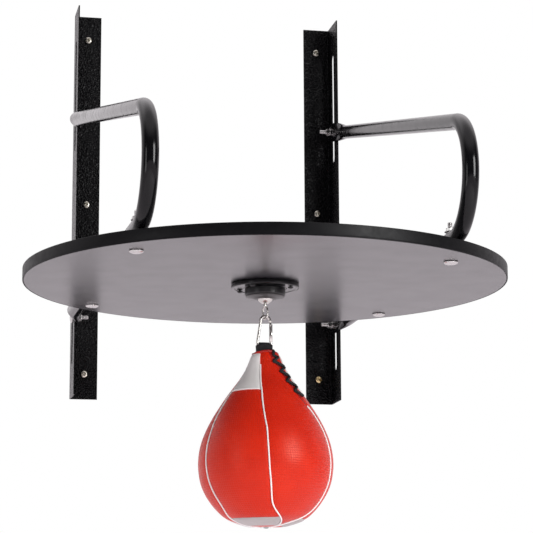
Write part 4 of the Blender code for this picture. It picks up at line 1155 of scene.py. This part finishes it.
def make_bladder_and_valve():
    heights = [z for _, z in OUTLINE if -0.3040 < z < -0.1220]
    outer = [(outline_at(z)[0] - LEATHER - 0.0016, z) for z in heights]
    outer = [(max(r, 0.0024), z + 0.0022 * (z < -0.296)) for r, z in outer]
    inner = [(max(r - 0.0012, 0.0016), z) for r, z in outer]
    profile = [(0, -0.1150), (outer[0][0] * 0.7, -0.1175)] + outer + inner[::-1]
    bladder = lathe(profile + [(outer[0][0] * 0.66, -0.1187), (0, -0.1162)], 64, closed=False)
    stand_in("bag_bladder", "bag", "bladder_rubber", bladder, AXIS)

    low = BAG_BOTTOM
    profile = [(0, low - 0.0008), (0.0007, low - 0.0009), (0.0009, low - 0.0016), (0.0022, low - 0.0016),
               (0.0030, low - 0.0012), (0.0034, low - 0.0003), (VALVE_RADIUS, low + 0.0001),
               (VALVE_RADIUS, low + LEATHER), (0.0020, low + LEATHER + 0.0004), (0.0020, low + 0.0120),
               (0, low + 0.0120)]
    stand_in("bag_valve", "bag", "valve_rubber", lathe(profile, 32, closed=False), AXIS)


def make_webbing():
    """Webbing folded over the clip's bar, gathered there and spread in the bag's mouth."""
    inside = LOOP_INNER_RADIUS
    outside = inside + WEBBING
    neck = 0.0010
    shoulder = BELOW_CLIP_BAR - 0.0062
    fall = [(1 - t) * BELOW_CLIP_BAR + t * shoulder for t in (0.0, 0.3, 0.6, 0.8, 1.0)]
    run = [shoulder + (BELOW_LOOP - shoulder) * t for t in (0.1, 0.25, 0.5, 0.75, 1.0)]

    def offset(z, wide, tight):
        t = min(1.0, max(0.0, (BELOW_CLIP_BAR - z) / (BELOW_CLIP_BAR - shoulder)))
        return wide + (tight - wide) * t * t * (3 - 2 * t)

    outer_side = [(offset(z, outside, neck + WEBBING), z) for z in fall + run]
    inner_side = [(offset(z, inside, neck), z) for z in fall + run]
    outline = [(-y, z) for y, z in reversed(outer_side)] + arc((0, BELOW_CLIP_BAR), outside, 180, 0, 20)[1:-1]
    outline += outer_side + inner_side[::-1]
    outline += arc((0, BELOW_CLIP_BAR), inside, 0, 180, 20)[1:-1] + [(-y, z) for y, z in inner_side]
    columns = 16
    rows = []
    for j in range(columns + 1):
        share = j / columns - 0.5
        thin = 0.00030 if j in (0, columns) else 0.0
        row = []
        for y, z in outline:
            spread = min(max(1 - (z - BELOW_CLIP_BAR) / 0.0012, 0.0), 1.0)
            width = LOOP_NECK_WIDTH + (LOOP_WIDTH - LOOP_NECK_WIDTH) * spread * spread * (3 - 2 * spread)
            curl = 0.0006 * math.cos(share * math.tau) * (1 - spread) * (1 if y > 0 else -1)
            row.append(clip_point(LOOP_CENTRE_X + share * width, z,
                                  y * (1 - thin / max(abs(y), 0.001)) + curl))
        rows.append(row)
    run = lengths_along([(y, z, 0) for y, z in outline + outline[:1]])
    shape = loft(rows, uv=lambda k, step, row: (LOOP_WIDTH * row / columns, run[k + step]))
    add_piece("bag_loop_webbing", "bag", "black_webbing", shape, ("bag_loop",), 60)


# --------------------------------------------------------------------- camera, light and stage
def look(yaw, pitch, roll):
    """A rotation that looks along +Y, turned yaw towards +X, pitched up and rolled."""
    forward = Vector((math.sin(yaw) * math.cos(pitch), math.cos(yaw) * math.cos(pitch), math.sin(pitch)))
    right = Vector((math.cos(yaw), -math.sin(yaw), 0.0))
    up = right.cross(forward)
    rolled_right = right * math.cos(roll) + up * math.sin(roll)
    rolled_up = up * math.cos(roll) - right * math.sin(roll)
    return Matrix((rolled_right, rolled_up, -forward)).transposed().to_4x4()


def make_camera():
    data = bpy.data.cameras.new("camera")
    data.lens = CAMERA_LENS
    data.sensor_width = SENSOR_WIDTH
    data.clip_start = 0.1
    data.clip_end = 60.0
    camera = new_object("camera", data)
    camera.matrix_world = Matrix.Translation(CAMERA_PLACE) @ look(CAMERA_YAW, CAMERA_PITCH, CAMERA_ROLL)
    bpy.context.scene.camera = camera


def make_softbox(name, azimuth, elevation, distance, width, height, power, glossy=True):
    """A soft light aimed at the board: azimuth 0 is straight out from the wall, 90 at +X."""
    data = bpy.data.lights.new(name, 'AREA')
    data.shape = 'RECTANGLE'
    data.size = width
    data.size_y = height
    data.energy = power
    lamp = new_object(name, data)
    a, e = math.radians(azimuth), math.radians(elevation)
    away = Vector((math.sin(a) * math.cos(e), -math.cos(a) * math.cos(e), math.sin(e)))
    aim = AXIS + Vector((0, 0, -0.12))
    lamp.matrix_world = (Matrix.Translation(aim + away * distance)
                         @ (-away).to_track_quat('-Z', 'Y').to_matrix().to_4x4())
    lamp.visible_camera = False
    lamp.visible_glossy = glossy


def smooth_range(tree, value, from_low, from_high, low, high):
    return node(tree, "MapRange", {"Value": value, "From Min": from_low, "From Max": from_high,
                                   "To Min": low, "To Max": high},
                interpolation_type='SMOOTHSTEP').outputs["Result"]


def make_studio():
    """White all round behind the object and dark in front of it, as in a product tent."""
    world = bpy.data.worlds.new("studio")
    bpy.context.scene.world = world
    world.use_nodes = True
    tree = world.node_tree
    tree.nodes.clear()
    direction = node(tree, "SeparateXYZ", {"Vector": node(tree, "TexCoord").outputs["Generated"]})
    behind = smooth_range(tree, direction.outputs["Y"], -0.12, 0.40, FRONT_GLOW, BACK_GLOW)
    above = smooth_range(tree, direction.outputs["Z"], 0.50, 0.85, 0.0, OVERHEAD_GLOW)
    light = node(tree, "Math", {0: behind, 1: above}, operation='ADD').outputs[0]
    lit = node(tree, "Background", {"Color": (1.0, 0.955, 0.985, 1), "Strength": light}).outputs[0]
    seen = node(tree, "Background", {"Color": (1, 1, 1, 1), "Strength": 1.0}).outputs[0]
    camera_ray = node(tree, "LightPath").outputs["Is Camera Ray"]
    mixed = node(tree, "MixShader", {0: camera_ray, 1: lit, 2: seen}).outputs[0]
    node(tree, "OutputWorld", {"Surface": mixed})
    make_softbox("key_softbox", 36, 14, 2.6, 0.90, 1.20, 46)
    make_softbox("side_softbox", -60, 6, 2.6, 0.55, 1.2, 7)
    make_softbox("front_fill", -8, 4, 3.2, 2.4, 1.6, 19, glossy=False)
    bpy.context.scene.view_settings.view_transform = 'Standard'


def make_floor():
    floor_finish, tree, shader = new_finish("studio_floor", (0.86, 0.86, 0.86), 0.75)
    rest = rest_coordinates(tree)
    vary_colour(tree, shader, noise_at(tree, rest, 0.7), (0.85, 0.815, 0.84), (0.88, 0.845, 0.87))
    shape = lathe([(0, -0.02), (16.0, -0.02), (16.0, 0), (0, 0)], 96, closed=False)
    floor = new_object("studio_floor", mesh_of(placed(shape, Vector((0, 0, FLOOR_HEIGHT))), "studio_floor"))
    floor.data.materials.append(floor_finish)


# --------------------------------------------------------------------------------------- main
def main():
    make_camera()
    make_studio()
    make_floor()
    finish_uprights()
    make_wall_screws()
    make_arm_bolts()
    make_arms()
    make_board()
    make_board_bolts()
    make_swivel_plate()
    make_swivel_housing()
    make_swivel_inside()
    make_clip()
    make_gate()
    make_bag_cover()
    make_bag_piping()
    make_bag_patches()
    make_lacing()
    make_mouth()
    make_bladder_and_valve()
    make_webbing()


main()
